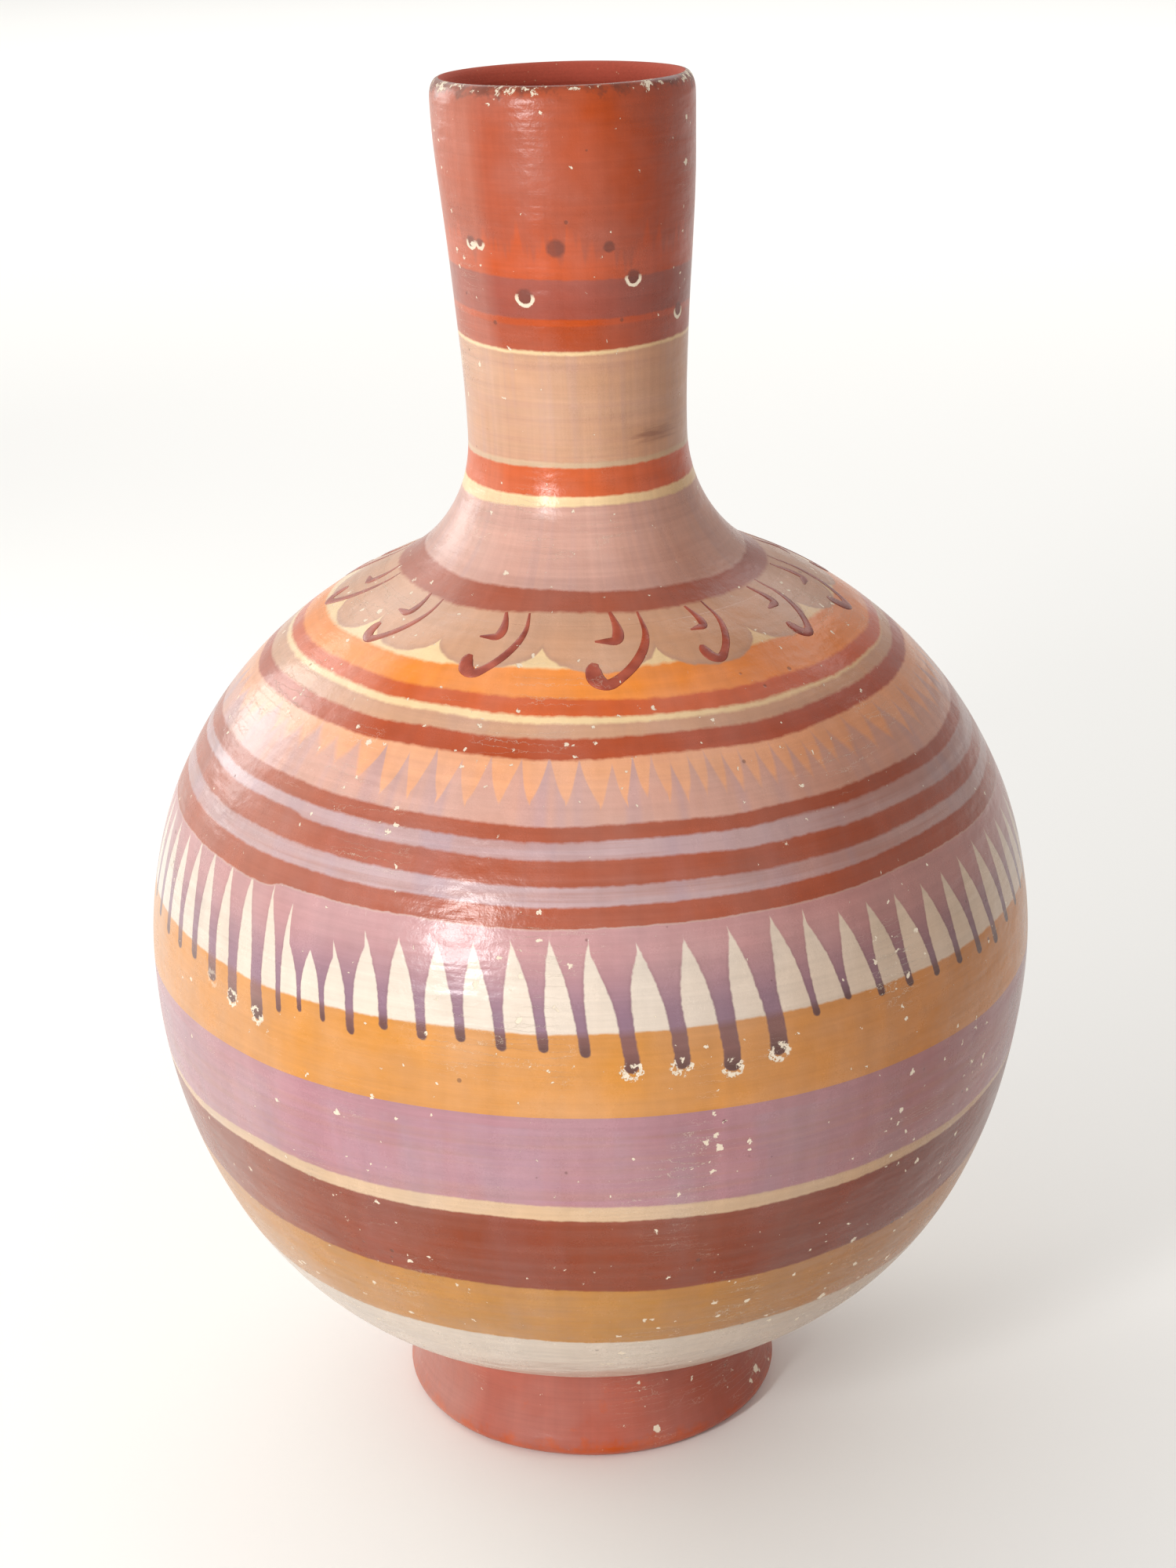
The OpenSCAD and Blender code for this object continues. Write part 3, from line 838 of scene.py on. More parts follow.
def brush_flames(tree, at, colour, zone):
    """A row of mauve flames rising over the peach ring."""
    level = chart(tree, at["angle"], -180, 180, [
        (-180, 0.30, 0.92, 0.2), (-75, 0.45, 0.70, 0.5), (-58, 0.62, 0.85, 0.5), (-39, 0.56, 0.9, 0.35),
        (-36, 0.27, 0.93, 0.1), (0, 0.30, 0.95, 0.1), (12, 0.37, 0.93, 0.2), (24, 0.33, 0.86, 0.4),
        (45, 0.42, 0.84, 0.5), (62, 0.36, 0.88, 0.4), (90, 0.30, 0.9, 0.2), (180, 0.30, 0.92, 0.2)])
    read = put(tree, CHANNELS, level).node
    low = put(tree, MAP, read.outputs[0], 0.0, 1.0, 252.0, 268.0)
    high = put(tree, MAP, read.outputs[1], 0.0, 1.0, 252.0, 268.0)
    wobble = put(tree, NOISE, at["point"], 0.045, 1.0, 0.5)
    unsteady = put(tree, MAP, wobble, 0.0, 1.0, -1.1, 1.1)
    lean = put(tree, TIMES, at["z"], 0.09)
    bent = put(tree, TIMES, lean, at["right"])
    steady = put(tree, PLUS, at["around"], unsteady)
    turned_by = put(tree, PLUS, steady, bent)
    from_first = put(tree, PLUS, turned_by, 1.0)
    offset, _, luck = repeats(tree, from_first, 360 / FLAMES, FLAMES)
    change = put(tree, MAP, luck, 0.0, 1.0, -1.4, 1.4)
    side = put(tree, MATH, offset, operation="ABSOLUTE")
    slope = put(tree, MAP, side, 0.0, 0.5, 1.0, 0.0)
    flame = put(tree, POWER, slope, 1.35)
    span = put(tree, MINUS, high, low)
    rise = put(tree, TIMES_PLUS, flame, span, low)
    top = put(tree, PLUS, rise, change)
    under = put(tree, MINUS, top, at["z"])
    soft = put(tree, MAP, read.outputs[2], 0.0, 1.0, 0.3, 3.0)
    hard = put(tree, TIMES, soft, -1.0)
    inside = put(tree, MAP, under, hard, soft, 0.0, 1.0)
    mask = put(tree, TIMES, inside, zone)
    # The same brush's wash runs down in streaks.
    streak = drawn_noise(tree, at["ring"], (17.0, 17.0, 17.0), 0.7, 2.0, 0.6)
    washed = put(tree, MAP, streak, 0.47, 0.66, 0.0, 0.4)
    slip = put(tree, LAY, washed, linear(DUSTY_ROSE), linear("#ab93a0"))
    return put(tree, LAY, mask, colour, slip)


PETALS = 15


def brush_petals(tree, at, colour, zone):
    """Round taupe petals that hang from the dark collar over the cream and the orange."""
    doubled = put(tree, MAP, at["around"], -90.0, 270.0, math.radians(-184), math.radians(536))
    swing = put(tree, MATH, doubled, operation="SINE")
    uneven = put(tree, TIMES_PLUS, swing, -3.4, at["around"])
    from_cusp = put(tree, PLUS, uneven, 8.7)
    share, _, luck = repeats(tree, from_cusp, 360 / PETALS, PETALS, rounding="FLOOR")
    across = put(tree, MAP, share, 0.0, 1.0, -0.955, 0.955)
    squared = put(tree, TIMES, across, across)
    rest = put(tree, MINUS, 1.0, squared)
    round_off = put(tree, MATH, rest, operation="SQRT")
    low = put(tree, MAP, luck, 0.0, 1.0, 284.7, 286.2)
    hang = put(tree, MAP, round_off, 0.0, 1.0, 6.3, 0.0)
    arc = put(tree, PLUS, low, hang)
    above = put(tree, MINUS, at["hand_z"], arc)
    inside = put(tree, MAP, above, -0.25, 0.25, 0.0, 1.0)
    mask = put(tree, TIMES, inside, zone)
    brim = put(tree, MAP, above, 1.3, 0.0, 0.0, 0.35)
    slip = put(tree, LAY, brim, linear(TAN_WASH), linear("#a08077"))
    return put(tree, LAY, mask, colour, slip)


# Drops and smudges on the neck: angle, height, radius and how much each flaked. Judged to a few
# degrees, from how far out across the neck each stands and which band it is in.
NECK_SPOTS = [(30, 393, 2.7, 1.0), (-22, 388, 3.0, 1.0), (62, 380, 2.6, 1.0), (-6, 403, 3.0, 0.0),
              (-50, 403, 2.2, 0.8), (18, 403, 2.0, 0.0), (-44, 403, 1.7, 0.6), (118, 390, 3.0, 1.0),
              (163, 398, 2.6, 0.8), (-140, 392, 2.9, 1.0), (-101, 397, 2.0, 0.0)]


NECK_R = 36.5          # radius of the neck where the drops are


def neck_spots(tree, at, colour):
    """Fired drops of slip on the neck: a dark button with a flaked cream crescent under it."""
    flakes = put(tree, NOISE, at["point"], 0.8, 3.0, 0.7)
    rough = put(tree, MAP, flakes, 0.0, 1.0, -1.3, 1.3)
    flaked = None
    for angle, height, radius, bare in NECK_SPOTS:
        off = put(tree, MINUS, at["angle"], angle)
        off = put(tree, MATH, off, 180.0, -180.0, operation="WRAP")
        across = put(tree, TIMES, off, math.radians(1) * NECK_R)
        up = put(tree, MINUS, at["z"], height)
        spot = put(tree, COMBINE, across, up, 0.0)
        far = put(tree, VECTOR_MATH, spot, operation="LENGTH")
        ragged = put(tree, TIMES_PLUS, rough, 0.35, far)
        button = put(tree, MAP, ragged, radius * 1.05, radius * 0.7, 0.0, 0.75)
        colour = put(tree, LAY, button, colour, linear("#6e3a30"))
        if bare:
            off_ring = put(tree, MINUS, ragged, radius * 0.85)
            near = put(tree, MATH, off_ring, operation="ABSOLUTE")
            ring = put(tree, MAP, near, 0.62, 0.3, 0.0, bare)
            under = put(tree, MAP, up, radius * 0.35, -radius * 0.35, 0.0, 1.0)
            crescent = put(tree, TIMES, ring, under)
            flaked = crescent if flaked is None else put(tree, MATH, flaked, crescent, operation="MAXIMUM")
    return put(tree, LAY, flaked, colour, linear("#f0dcc0")), flaked


def slip_finish(tree, at, colour, flaked=None, gloss=0.23, wear=1.0):
    """What fire, burnishing and handling leave on slip: lines, pits, chips, scratches and a soft gloss."""
    finish = bpy.context.scene.vase_finish
    # Painted sheen on the left side and painted shade on the right, laid into the slip's colour.
    colour = painted_side_light(tree, at, colour)
    # Brush lines run round the vase, about 1.5 mm apart.
    brushed = drawn_noise(tree, at["point"], (0.012, 0.012, 0.62), 1.0, 3.0, 0.65)
    shade = put(tree, MAP, brushed, 0.3, 0.7, -0.5, 0.5)
    mottle = put(tree, NOISE, at["point"], 0.045, 4.0, 0.6)
    cloud = put(tree, MAP, mottle, 0.3, 0.7, -0.6, 0.6)
    run = run_noise(tree, at, 24.0, 0.008, 0.9, 2.0)
    vertical = put(tree, MAP, run, 0.3, 0.7, -0.35, 0.35)
    tone = put(tree, PLUS, shade, cloud)
    tone = put(tree, PLUS, tone, vertical)
    bright = put(tree, MAP, tone, -1.2, 1.2, 1 - finish.unevenness, 1 + finish.unevenness)
    thin = put(tree, NOISE, at["point"], 0.028, 3.0, 0.6)
    depth = put(tree, MAP, thin, 0.3, 0.7, 0.92, 1.08)
    colour = put(tree, "ShaderNodeHueSaturation", 0.5, depth, bright, 1.0, colour)

    # Dark specks of grit, 0.5 to 1 mm
    grit = put(tree, VORONOI, at["point"], 0.13).node
    speck_size = put(tree, CHANNELS, grit.outputs["Color"]).node
    speck_r = put(tree, MAP, speck_size.outputs[0], 0.7, 1.0, 0.0, 0.10)
    speck_gap = put(tree, MINUS, grit.outputs["Distance"], speck_r)
    speck = put(tree, MAP, speck_gap, 0.02, -0.02, 0.0, 0.55)
    colour = put(tree, LAY, speck, colour, linear("#5b3a30"))

    # Chips down to the cream ground: a few millimetres across, in loose groups, with ragged edges
    shift = put(tree, NOISE, at["point"], 0.55, 3.0, 0.65, out=1)
    away = put(tree, VECTOR_MATH, shift, (0.5, 0.5, 0.5), operation="SUBTRACT")
    spread = put(tree, VECTOR_MATH, away, 3.4, operation="SCALE")
    torn = put(tree, VECTOR_MATH, at["point"], spread, operation="ADD")
    groups = put(tree, NOISE, at["point"], 0.021, 2.0, 0.6)
    crowded = put(tree, MAP, groups, 0.42, 0.64, 0.35, 1.0)
    chips = flaked
    for scale, biggest, rare in ((0.045, 0.12, 0.78), (0.12, 0.19, 0.66), (0.30, 0.32, 0.72)):
        cell = put(tree, VORONOI, torn, scale).node
        luck = put(tree, CHANNELS, cell.outputs["Color"]).node
        size = put(tree, MAP, luck.outputs[1], rare, 1.0, 0.0, biggest * wear)
        reach = put(tree, TIMES, size, crowded)
        gap = put(tree, MINUS, cell.outputs["Distance"], reach)
        chipped = put(tree, MAP, gap, 0.0, -0.02, 0.0, 0.95)
        chips = chipped if chips is None else put(tree, MATH, chips, chipped, operation="MAXIMUM")

    # Hairline scratches from handling, mostly level
    stretched = put(tree, VECTOR_MATH, at["point"], (0.07, 0.07, 0.9), operation="MULTIPLY")
    twist = put(tree, VECTOR_MATH, away, 1.1, operation="SCALE")
    scratch_at = put(tree, VECTOR_MATH, stretched, twist, operation="ADD")
    scored = put(tree, VORONOI, scratch_at, 0.5, feature="DISTANCE_TO_EDGE")
    hair = put(tree, MAP, scored, 0.012, 0.004, 0.0, 1.0)
    patchy = put(tree, MAP, groups, 0.55, 0.66, 0.0, 0.55 * wear)
    scratch = put(tree, TIMES, hair, patchy)
    worn = put(tree, MATH, chips, scratch, operation="MAXIMUM")
    colour = put(tree, LAY, worn, colour, linear(CREAM_GROUND))

    # Burnished with a pebble: small facets about 2 mm across, level pebble lines and open pits
    facets = put(tree, NOISE, at["point"], 0.42, 3.0, 0.55)
    grain = put(tree, NOISE, at["point"], 1.4, 2.0, 0.6)
    dents = drawn_noise(tree, at["point"], (0.05, 0.05, 0.14), 1.0, 2.0, 0.5)
    level = put(tree, TIMES_PLUS, brushed, 0.5, facets)
    level = put(tree, TIMES_PLUS, dents, 7.0, level)
    level = put(tree, TIMES_PLUS, speck, -1.2, level)
    level = put(tree, TIMES_PLUS, grain, 0.28, level)
    level = put(tree, TIMES_PLUS, worn, -0.9, level)
    relief = put(tree, "ShaderNodeBump", 1.0, 0.11 * MM, None, level)
    matt = put(tree, MAP, mottle, 0.3, 0.7, gloss - 0.04, gloss + 0.05)
    dulled = put(tree, TIMES_PLUS, worn, 0.4, matt)
    speckled = put(tree, TIMES_PLUS, grain, 0.05, dulled)
    shader = put(tree, "ShaderNodeBsdfPrincipled", colour, 0.0, speckled, 1.46, None, relief)
    put(tree, "ShaderNodeOutputMaterial", shader)


def new_material(name):
    material = bpy.data.materials.new(name)
    material.use_nodes = True
    material.node_tree.nodes.clear()
    return material, material.node_tree


def neck_slip():
    """Brick-red slip over a dustier coat, burnished: worn along the lip, dripped where the coats meet."""
    found = bpy.data.materials.get("burnished_neck_slip")
    if found:
        return found
    material, tree = new_material("burnished_neck_slip")
    at = places(tree)
    colour = paint_bands(tree, at, linear(BRICK), NECK_BANDS)
    # The dusty upper coat ends in uneven runs over the brighter red.
    runs = drawn_noise(tree, at["ring"], (9.0, 9.0, 9.0), 0.8, 2.0, 0.7)
    run = put(tree, MAP, runs, 0.3, 0.7, -7.0, 7.0)
    level = put(tree, PLUS, at["hand_z"], run)
    coat = put(tree, MAP, level, 400.5, 404.5, 0.0, 1.0)
    colour = put(tree, LAY, coat, colour, linear(BRICK))
    # A brush was wiped against the pale wash.
    wipe_z = put(tree, MINUS, at["hand_z"], 343.4)
    wipe_a = put(tree, MINUS, at["angle"], 45.0)
    wipe = put(tree, COMBINE, put(tree, TIMES, wipe_a, 0.16), wipe_z, 0.0)
    far = put(tree, VECTOR_MATH, wipe, operation="LENGTH")
    smear = drawn_noise(tree, at["point"], (0.1, 0.1, 0.9), 1.0, 2.0)
    near = put(tree, TIMES_PLUS, smear, 4.0, far)
    mark = put(tree, MAP, near, 4.7, 3.0, 0.0, 0.6)
    colour = put(tree, LAY, mark, colour, linear("#8d5a48"))
    colour, flaked = neck_spots(tree, at, colour)
    # The lip has lost slip and gathered dirt along its crest.
    wear = put(tree, NOISE, at["point"], 0.35, 4.0, 0.7)
    crest = put(tree, MAP, at["hand_z"], 442.0, 449.0, 0.0, 0.42)
    bare = put(tree, PLUS, wear, crest)
    patchy = put(tree, NOISE, at["point"], 0.035, 2.0, 0.6)
    bare = put(tree, TIMES_PLUS, patchy, 0.55, bare)
    lost = put(tree, MAP, bare, 1.24, 1.30, 0.0, 1.0)
    dirt = put(tree, NOISE, at["point"], 0.2, 4.0, 0.7)
    grime = put(tree, MAP, put(tree, PLUS, dirt, crest), 0.78, 0.95, 0.0, 0.7)
    colour = put(tree, LAY, grime, colour, linear(GRIME))
    flaked = put(tree, MATH, flaked, lost, operation="MAXIMUM")
    colour = put(tree, LAY, flaked, colour, linear("#e8cfae"))
    slip_finish(tree, at, colour, flaked, gloss=0.27)
    return material


def shoulder_slip():
    """Burnished slips in rings: petals under the collar, flames on the shoulder, tongues over the belly."""
    material, tree = new_material("burnished_shoulder_slip")
    at = places(tree)
    colour = paint_bands(tree, at, linear(TAN_WASH), SHOULDER_BANDS[:1])
    petal_zone = put(tree, MAP, at["hand_z"], 284.0, 284.6, 0.0, 1.0)
    colour = paint_bands(tree, at, colour, SHOULDER_BANDS[1:2])
    band = {b.name: b for b in SHOULDER_BANDS}
    colour = brush_petals(tree, at, colour, petal_zone)
    colour = paint_bands(tree, at, colour, SHOULDER_BANDS[2:7])
    zone = band_edge(tree, at, band["peach"])
    colour = brush_flames(tree, at, colour, zone)
    colour = paint_bands(tree, at, colour, SHOULDER_BANDS[7:])
    zone = band_edge(tree, at, band["arch_cream"])
    colour, scab = brush_tongues(tree, at, colour, zone)
    colour = water_runs(tree, at, colour)
    slip_finish(tree, at, colour, scab)
    return material


def bowl_slip():
    """Burnished slips in broad belts under the belly, chipped by handling, over a grey-cream base coat."""
    material, tree = new_material("burnished_bowl_slip")
    at = places(tree)
    colour = paint_bands(tree, at, linear(LAVENDER), BOWL_BANDS)
    colour = water_runs(tree, at, colour)
    slip_finish(tree, at, colour, wear=1.25)
    return material


def foot_slip():
    """Brick-red slip brushed on the foot and rubbed through to the orange clay along its edge."""
    material, tree = new_material("burnished_foot_slip")
    at = places(tree)
    rub = put(tree, NOISE, at["point"], 0.16, 4.0, 0.65)
    low = put(tree, MAP, at["z"], 9.0, 0.0, 0.0, 0.55)
    worn = put(tree, PLUS, rub, low)
    edge = put(tree, MAP, worn, 0.62, 0.85, 0.0, 1.0)
    colour = put(tree, LAY, edge, linear(DUSTY_BRICK), linear("#c0562c"))
    slip_finish(tree, at, colour, gloss=0.29)
    return material


def clay_surface(tree, colour, point):
    """Fired clay as it leaves the hand: sandy, wiped in level lines, with grit and small voids."""
    lines = drawn_noise(tree, point, (0.01, 0.01, 0.35), 1.0, 3.0, 0.6)
    sand = put(tree, NOISE, point, 1.1, 3.0, 0.7)
    cloud = put(tree, NOISE, point, 0.03, 3.0, 0.6)
    tone = put(tree, PLUS, lines, sand)
    tone = put(tree, PLUS, tone, cloud)
    bright = put(tree, MAP, tone, 1.0, 2.0, 0.8, 1.15)
    colour = put(tree, "ShaderNodeHueSaturation", 0.5, 1.0, bright, 1.0, colour)
    grit = put(tree, VORONOI, point, 0.35)
    fleck = put(tree, MAP, grit, 0.10, 0.05, 0.0, 0.6)
    colour = put(tree, LAY, fleck, colour, linear("#d8b48c"))
    level = put(tree, TIMES_PLUS, sand, 0.4, lines)
    relief = put(tree, "ShaderNodeBump", 0.9, 0.5 * MM, None, level)
    shader = put(tree, "ShaderNodeBsdfPrincipled", colour, 0.0, 0.86, 1.5, None, relief)
    put(tree, "ShaderNodeOutputMaterial", shader)


def bare_clay():
    """Unslipped earthenware, fired orange-brown: dry, sandy and wiped with a wet hand inside."""
    found = bpy.data.materials.get("bare_earthenware")
    if found:
        return found
    material, tree = new_material("bare_earthenware")
    point = put(tree, VECTOR_MATH, put(tree, "ShaderNodeTexCoord", out=3), 1 / MM, operation="SCALE")
    clay_surface(tree, linear("#b5704a"), point)
    return material


def mouth_slip():
    """Red slip carried down inside the mouth as far as the brush reached, thinning out to bare clay."""
    found = bpy.data.materials.get("mouth_red_slip")
    if found:
        return found
    material, tree = new_material("mouth_red_slip")
    at = places(tree)
    runs = put(tree, NOISE, at["point"], 0.08, 3.0, 0.6)
    level = put(tree, TIMES_PLUS, runs, 22.0, at["z"])
    reach = put(tree, MAP, level, 376.0, 384.0, 0.0, 1.0)
    colour = put(tree, LAY, reach, linear("#b5704a"), linear("#b9523d"))
    clay_surface(tree, colour, at["point"])
    return material


def stroke_slip():
    """Dark iron-red slip laid on thick with one loaded brush: glossy, and darker where it pooled."""
    material, tree = new_material("iron_red_stroke_slip")
    at = places(tree)
    pool = put(tree, NOISE, at["point"], 0.16, 2.0, 0.5)
    deep = put(tree, MAP, pool, 0.35, 0.68, 0.0, 1.0)
    colour = put(tree, LAY, deep, linear(STROKE_RED), linear(STROKE_DEEP))
    slip_finish(tree, at, colour, gloss=0.25, wear=0.8)
    return material


# ---------------------------------------------------------------------------------------------
# Properties, operators and panel
# ---------------------------------------------------------------------------------------------

class VaseShape(PropertyGroup):
    lean: FloatProperty(name="Neck lean", description="How far the mouth stands to the side of the foot",
                        default=-4.25 * MM, unit="LENGTH")
    foot_shift: FloatProperty(name="Foot shift", description="How far the foot sits to the side of the bowl",
                              default=-1.9 * MM, unit="LENGTH")
    rim_dip: FloatProperty(name="Rim dip", description="How much lower the back of the lip is than its front",
                           default=2.3 * MM, unit="LENGTH")
    swell: FloatProperty(name="Swell", description="Height of the swellings left by shaping the clay by hand",
                         default=1.6 * MM, unit="LENGTH")
    segments: IntProperty(name="Segments", description="Faces round the vase", default=288, min=48, max=480)


class VaseFinish(PropertyGroup):
    unevenness: FloatProperty(name="Unevenness", description="How much the slips' coats vary in depth",
                              default=0.13, min=0.0, max=0.4, subtype="FACTOR")
    stroke_height: FloatProperty(name="Stroke height",
                                 description="Height of a raised stroke over its half-width",
                                 default=0.13, min=0.02, max=0.5, subtype="FACTOR")


class VaseStudio(PropertyGroup):
    world: FloatVectorProperty(name="Surroundings", description="Colour of the light from all round",
                               default=linear("#fbfaf8")[:3], subtype="COLOR", size=3)
    world_strength: FloatProperty(name="Surroundings strength",
                                  description="Strength of the light from all round",
                                  default=0.62, min=0.0)
    floor: FloatVectorProperty(name="Floor", description="Colour of the floor",
                               default=linear("#f6f5f2")[:3], subtype="COLOR", size=3)


class VASE_OT_foot(Operator):
    """Foot ring and the coil thumbed in under the bowl"""
    bl_idname = "vase.foot"
    bl_label = "Foot"

    def execute(self, context):
        slip, clay = foot_slip(), bare_clay()
        turned("foot", "foot_ring", foot_sides(), slip, clay, clay)
        turned("foot_coil", "foot_luting_coil", foot_coil_sides(), clay, clay, clay)
        return {"FINISHED"}


class VASE_OT_bowl(Operator):
    """Lower bowl and the coil smeared over its upper seam"""
    bl_idname = "vase.bowl"
    bl_label = "Bowl"

    def execute(self, context):
        clay = bare_clay()
        turned("bowl", "lower_bowl", shell_sides(0, S_BELLY, 0, SEAM_IN["belly"]),
               bowl_slip(), clay, clay, strips=2)
        turned("belly_coil", "belly_luting_coil",
               coil_sides(S_BELLY - COIL_STEP, S_BELLY + 2 * COIL_STEP), clay, clay, clay)
        return {"FINISHED"}


class VASE_OT_shoulder(Operator):
    """Shoulder shell and the coil smeared over the neck seam"""
    bl_idname = "vase.shoulder"
    bl_label = "Shoulder"

    def execute(self, context):
        clay = bare_clay()
        turned("shoulder", "shoulder_shell",
               shell_sides(S_BELLY, S_NECK, SEAM_IN["belly"], SEAM_IN["neck"]),
               shoulder_slip(), clay, clay, strips=2)
        turned("neck_coil", "neck_luting_coil",
               coil_sides(S_NECK - 2 * COIL_STEP, S_NECK + 3 * COIL_STEP), clay, clay, clay)
        return {"FINISHED"}


class VASE_OT_neck(Operator):
    """Neck tube and the coil that forms the lip"""
    bl_idname = "vase.neck"
    bl_label = "Neck and lip"

    def execute(self, context):
        slip, mouth, clay = neck_slip(), mouth_slip(), bare_clay()
        turned("neck", "neck_tube", shell_sides(S_NECK, S_RIM, SEAM_IN["neck"], SEAM_IN["rim"]),
               slip, mouth, clay)
        turned("rim", "rim_coil", rim_sides(), slip, mouth, clay)
        return {"FINISHED"}


# Strokes as (degrees right, millimetres down the wall, half-width), from the collar
HOOK = [(0.0, -0.6, 0.5), (0.5, 7.0, 0.95), (-0.6, 13.5, 1.35), (-3.4, 20.5, 1.5), (-6.8, 26.0, 1.55),
        (-9.4, 28.6, 2.0), (-11.6, 27.0, 2.4), (-12.4, 23.2, 2.1), (-12.1, 20.8, 1.0)]
COMMA = [(-7.9, -0.5, 0.7), (-6.8, 4.0, 1.3), (-6.4, 8.5, 1.9), (-7.2, 11.5, 1.8), (-9.6, 11.9, 1.2),
         (-12.2, 12.1, 0.4)]
# Where each pair of strokes hangs, and its size against the drawing
HOOK_PLACES = [(-78, 0.9), (-46.5, 0.84), (-16.0, 0.90), (15.8, 1.03), (37.2, 0.80), (64.5, 0.84), (90, 0.95),
               (118, 0.95), (145, 1.02), (173, 0.96), (200, 1.0), (227, 0.94), (254, 0.98)]
HOOK_TOP_Z = 296.9
HOOK_RADIUS = 75.0


class VASE_OT_hooks(Operator):
    """Raised brush strokes that hang from the collar over the petals"""
    bl_idname = "vase.hooks"
    bl_label = "Hooked strokes"

    def execute(self, context):
        points, edges, parts, widths = [], [], [], []

        def draw(line, part, sizes):
            first = len(points)
            points.extend(line)
            edges.extend((first + i, first + i + 1) for i in range(len(line) - 1) if part < 2)
            parts.extend([part] * len(line))
            widths.extend(sizes)

        wall = line_at([S_NECK - 0.5 + i * 0.01 for i in range(71)])
        draw([(p.x * MM, 0, p.y * MM) for p in wall], 0, [0] * len(wall))
        degree = math.radians(1) * HOOK_RADIUS * MM
        for stroke in (HOOK, COMMA):
            draw([(x * degree, -y * MM, 0) for x, y, _ in stroke], 1, [half * MM for _, _, half in stroke])
        draw([(angle * degree, 0, 0) for angle, _ in HOOK_PLACES], 2, [size for _, size in HOOK_PLACES])
        mesh = bpy.data.meshes.new("hook_strokes")
        mesh.from_pydata(points, edges, [])
        mesh.attributes.new("part", "FLOAT", "POINT").data.foreach_set("value", parts)
        mesh.attributes.new(HALF_WIDTH, "FLOAT", "POINT").data.foreach_set("value", widths)
        below = [p for p in wall if p.y <= HOOK_TOP_Z]
        length = sum((b - a).length for a, b in zip(below, below[1:])) * MM
        finish = context.scene.vase_finish
        obj = made_by(strokes_tree(), mesh, "hook_strokes", {
            "Start Length": length, "Reach Radius": HOOK_RADIUS * MM, "Flatness": finish.stroke_height,
            "Slip": stroke_slip(), "Seed": 4, **drift_values()})
        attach(obj, BODY)
        return {"FINISHED"}


CAMERA_PLACE = Vector((0.0, -0.8821, 0.5606))
CAMERA_PITCH = math.radians(21.15)    # down from level
CAMERA_ROLL = math.radians(-0.955)
CAMERA_LENS = 65.9                    # millimetres, on a 36 mm frame
# Soft lights: name, degrees round the vase, distance, height, width, height of the panel and power in watts
LIGHTS = [("tall_window", -32, 0.97, 0.52, 0.11, 0.26, 5.2),
          ("side_panel", -125, 1.0, 0.56, 0.45, 0.50, 3.0),
          ("left_softbox", -62, 1.7, 1.15, 0.9, 0.9, 2.0)]
LIGHT_AIM = Vector((0, 0, 0.26))
# The wash of light on the floor behind points straight down: place, width, depth and power
BACK_WASH = (Vector((0, 3.2, 2.4)), 5.0, 3.5, 75.0)
FLOOR_RADIUS = 9.0


def area_light(name, place, width, tall, power):
    light = bpy.data.lights.new(name, "AREA")
    light.shape, light.size, light.size_y, light.energy = "RECTANGLE", width, tall, power
    lamp = bpy.data.objects.new(name, light)
    lamp.location = place
    bpy.context.scene.collection.objects.link(lamp)
    return lamp


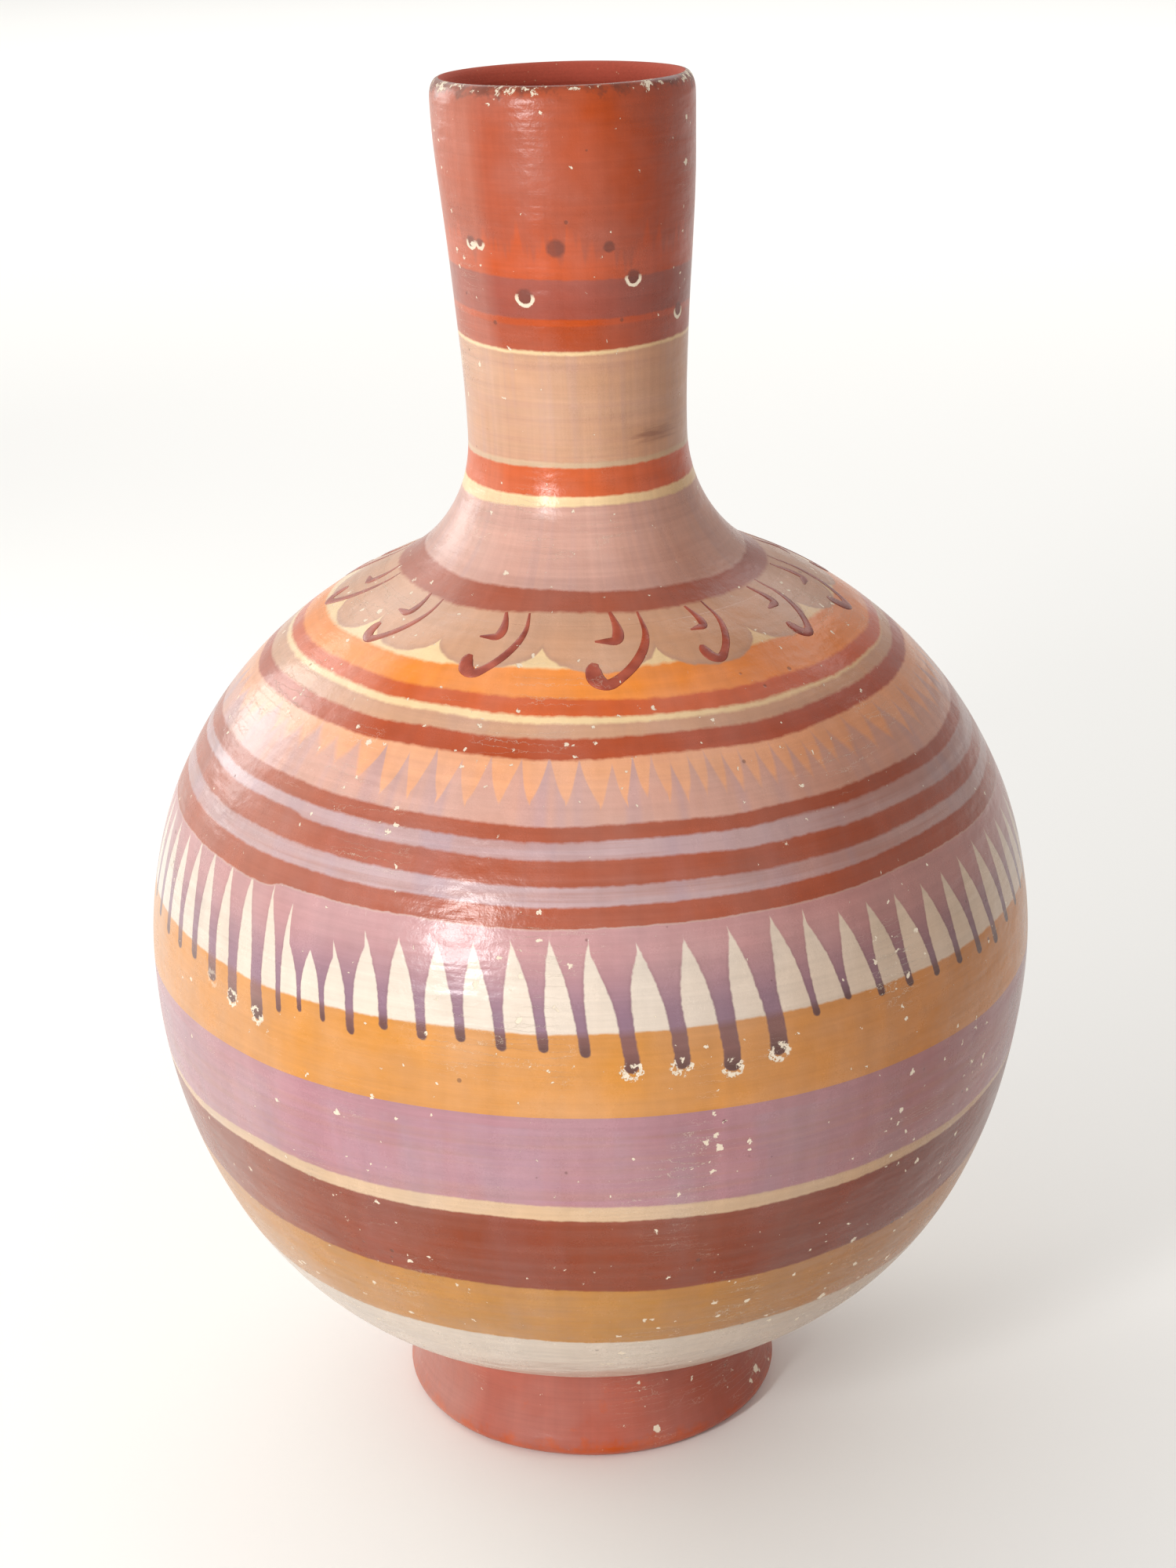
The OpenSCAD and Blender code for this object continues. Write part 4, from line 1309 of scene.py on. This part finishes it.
class VASE_OT_stage(Operator):
    """Pale floor, soft lights and the camera"""
    bl_idname = "vase.stage"
    bl_label = "Stage"

    def execute(self, context):
        scene, studio = context.scene, context.scene.vase_studio
        plan = bmesh.new()
        bmesh.ops.create_circle(plan, cap_ends=True, segments=96, radius=FLOOR_RADIUS)
        mesh = bpy.data.meshes.new("floor")
        plan.to_mesh(mesh)
        plan.free()
        floor = bpy.data.objects.new("floor", mesh)
        scene.collection.objects.link(floor)
        material, tree = new_material("pale_painted_board")
        point = put(tree, "ShaderNodeTexCoord", out=3)
        tooth = put(tree, NOISE, point, 600.0, 3.0, 0.6)
        colour = put(tree, LAY, put(tree, MAP, tooth, 0.3, 0.7, 0.0, 0.04), (*studio.floor, 1.0),
                     linear("#e4e2de"))
        relief = put(tree, "ShaderNodeBump", 0.1, 0.1 * MM, None, tooth)
        shader = put(tree, "ShaderNodeBsdfPrincipled", colour, 0.0, 0.8, 1.45, None, relief)
        put(tree, "ShaderNodeOutputMaterial", shader)
        mesh.materials.append(material)

        world = bpy.data.worlds.new("studio")
        world.use_nodes = True
        background = world.node_tree.nodes["Background"]
        background.inputs["Color"].default_value = (*studio.world, 1.0)
        background.inputs["Strength"].default_value = studio.world_strength
        scene.world = world
        area_light("back_wash", *BACK_WASH)
        for name, angle, distance, height, width, tall, power in LIGHTS:
            turn = math.radians(angle)
            place = Vector((distance * math.sin(turn), -distance * math.cos(turn), height))
            lamp = area_light(name, place, width, tall, power)
            lamp.rotation_euler = (LIGHT_AIM - lamp.location).to_track_quat("-Z", "Y").to_euler()

        camera = bpy.data.cameras.new("camera")
        camera.lens, camera.sensor_width, camera.sensor_fit = CAMERA_LENS, 36, "AUTO"
        view = bpy.data.objects.new("camera", camera)
        ahead = Vector((0, math.cos(CAMERA_PITCH), -math.sin(CAMERA_PITCH)))
        right = Vector((1, 0, 0))
        up = right.cross(ahead)
        level = math.cos(CAMERA_ROLL) * right + math.sin(CAMERA_ROLL) * up
        upright = math.cos(CAMERA_ROLL) * up - math.sin(CAMERA_ROLL) * right
        turn = Matrix((level, upright, -ahead)).transposed()
        view.matrix_world = Matrix.Translation(CAMERA_PLACE) @ turn.to_4x4()
        scene.collection.objects.link(view)
        scene.camera = view
        scene.view_settings.view_transform = "Standard"
        return {"FINISHED"}


class VASE_PT_panel(Panel):
    """The vase's pieces and settings"""
    bl_idname = "VASE_PT_panel"
    bl_label = "Burnished Slip Vase"
    bl_space_type = "VIEW_3D"
    bl_region_type = "UI"
    bl_category = "Vase"

    def draw(self, context):
        for label in ("vase_shape", "vase_finish", "vase_studio"):
            group = getattr(context.scene, label)
            for key in group.__annotations__:
                self.layout.prop(group, key)
        for operator in OPERATORS:
            self.layout.operator(operator.bl_idname)


OPERATORS = (VASE_OT_foot, VASE_OT_bowl, VASE_OT_shoulder, VASE_OT_neck, VASE_OT_hooks, VASE_OT_stage)
GROUPS = (("vase_shape", VaseShape), ("vase_finish", VaseFinish), ("vase_studio", VaseStudio))


def register():
    for group in (kind for _, kind in GROUPS):
        bpy.utils.register_class(group)
    for name, kind in GROUPS:
        setattr(bpy.types.Scene, name, PointerProperty(type=kind))
    for operator in OPERATORS:
        bpy.utils.register_class(operator)
    bpy.utils.register_class(VASE_PT_panel)


def unregister():
    bpy.utils.unregister_class(VASE_PT_panel)
    for operator in reversed(OPERATORS):
        bpy.utils.unregister_class(operator)
    for name, kind in reversed(GROUPS):
        delattr(bpy.types.Scene, name)
        bpy.utils.unregister_class(kind)


def main():
    register()
    for operator in OPERATORS:
        kind, action = operator.bl_idname.split(".")
        getattr(getattr(bpy.ops, kind), action)()


if __name__ == "__main__":
    main()
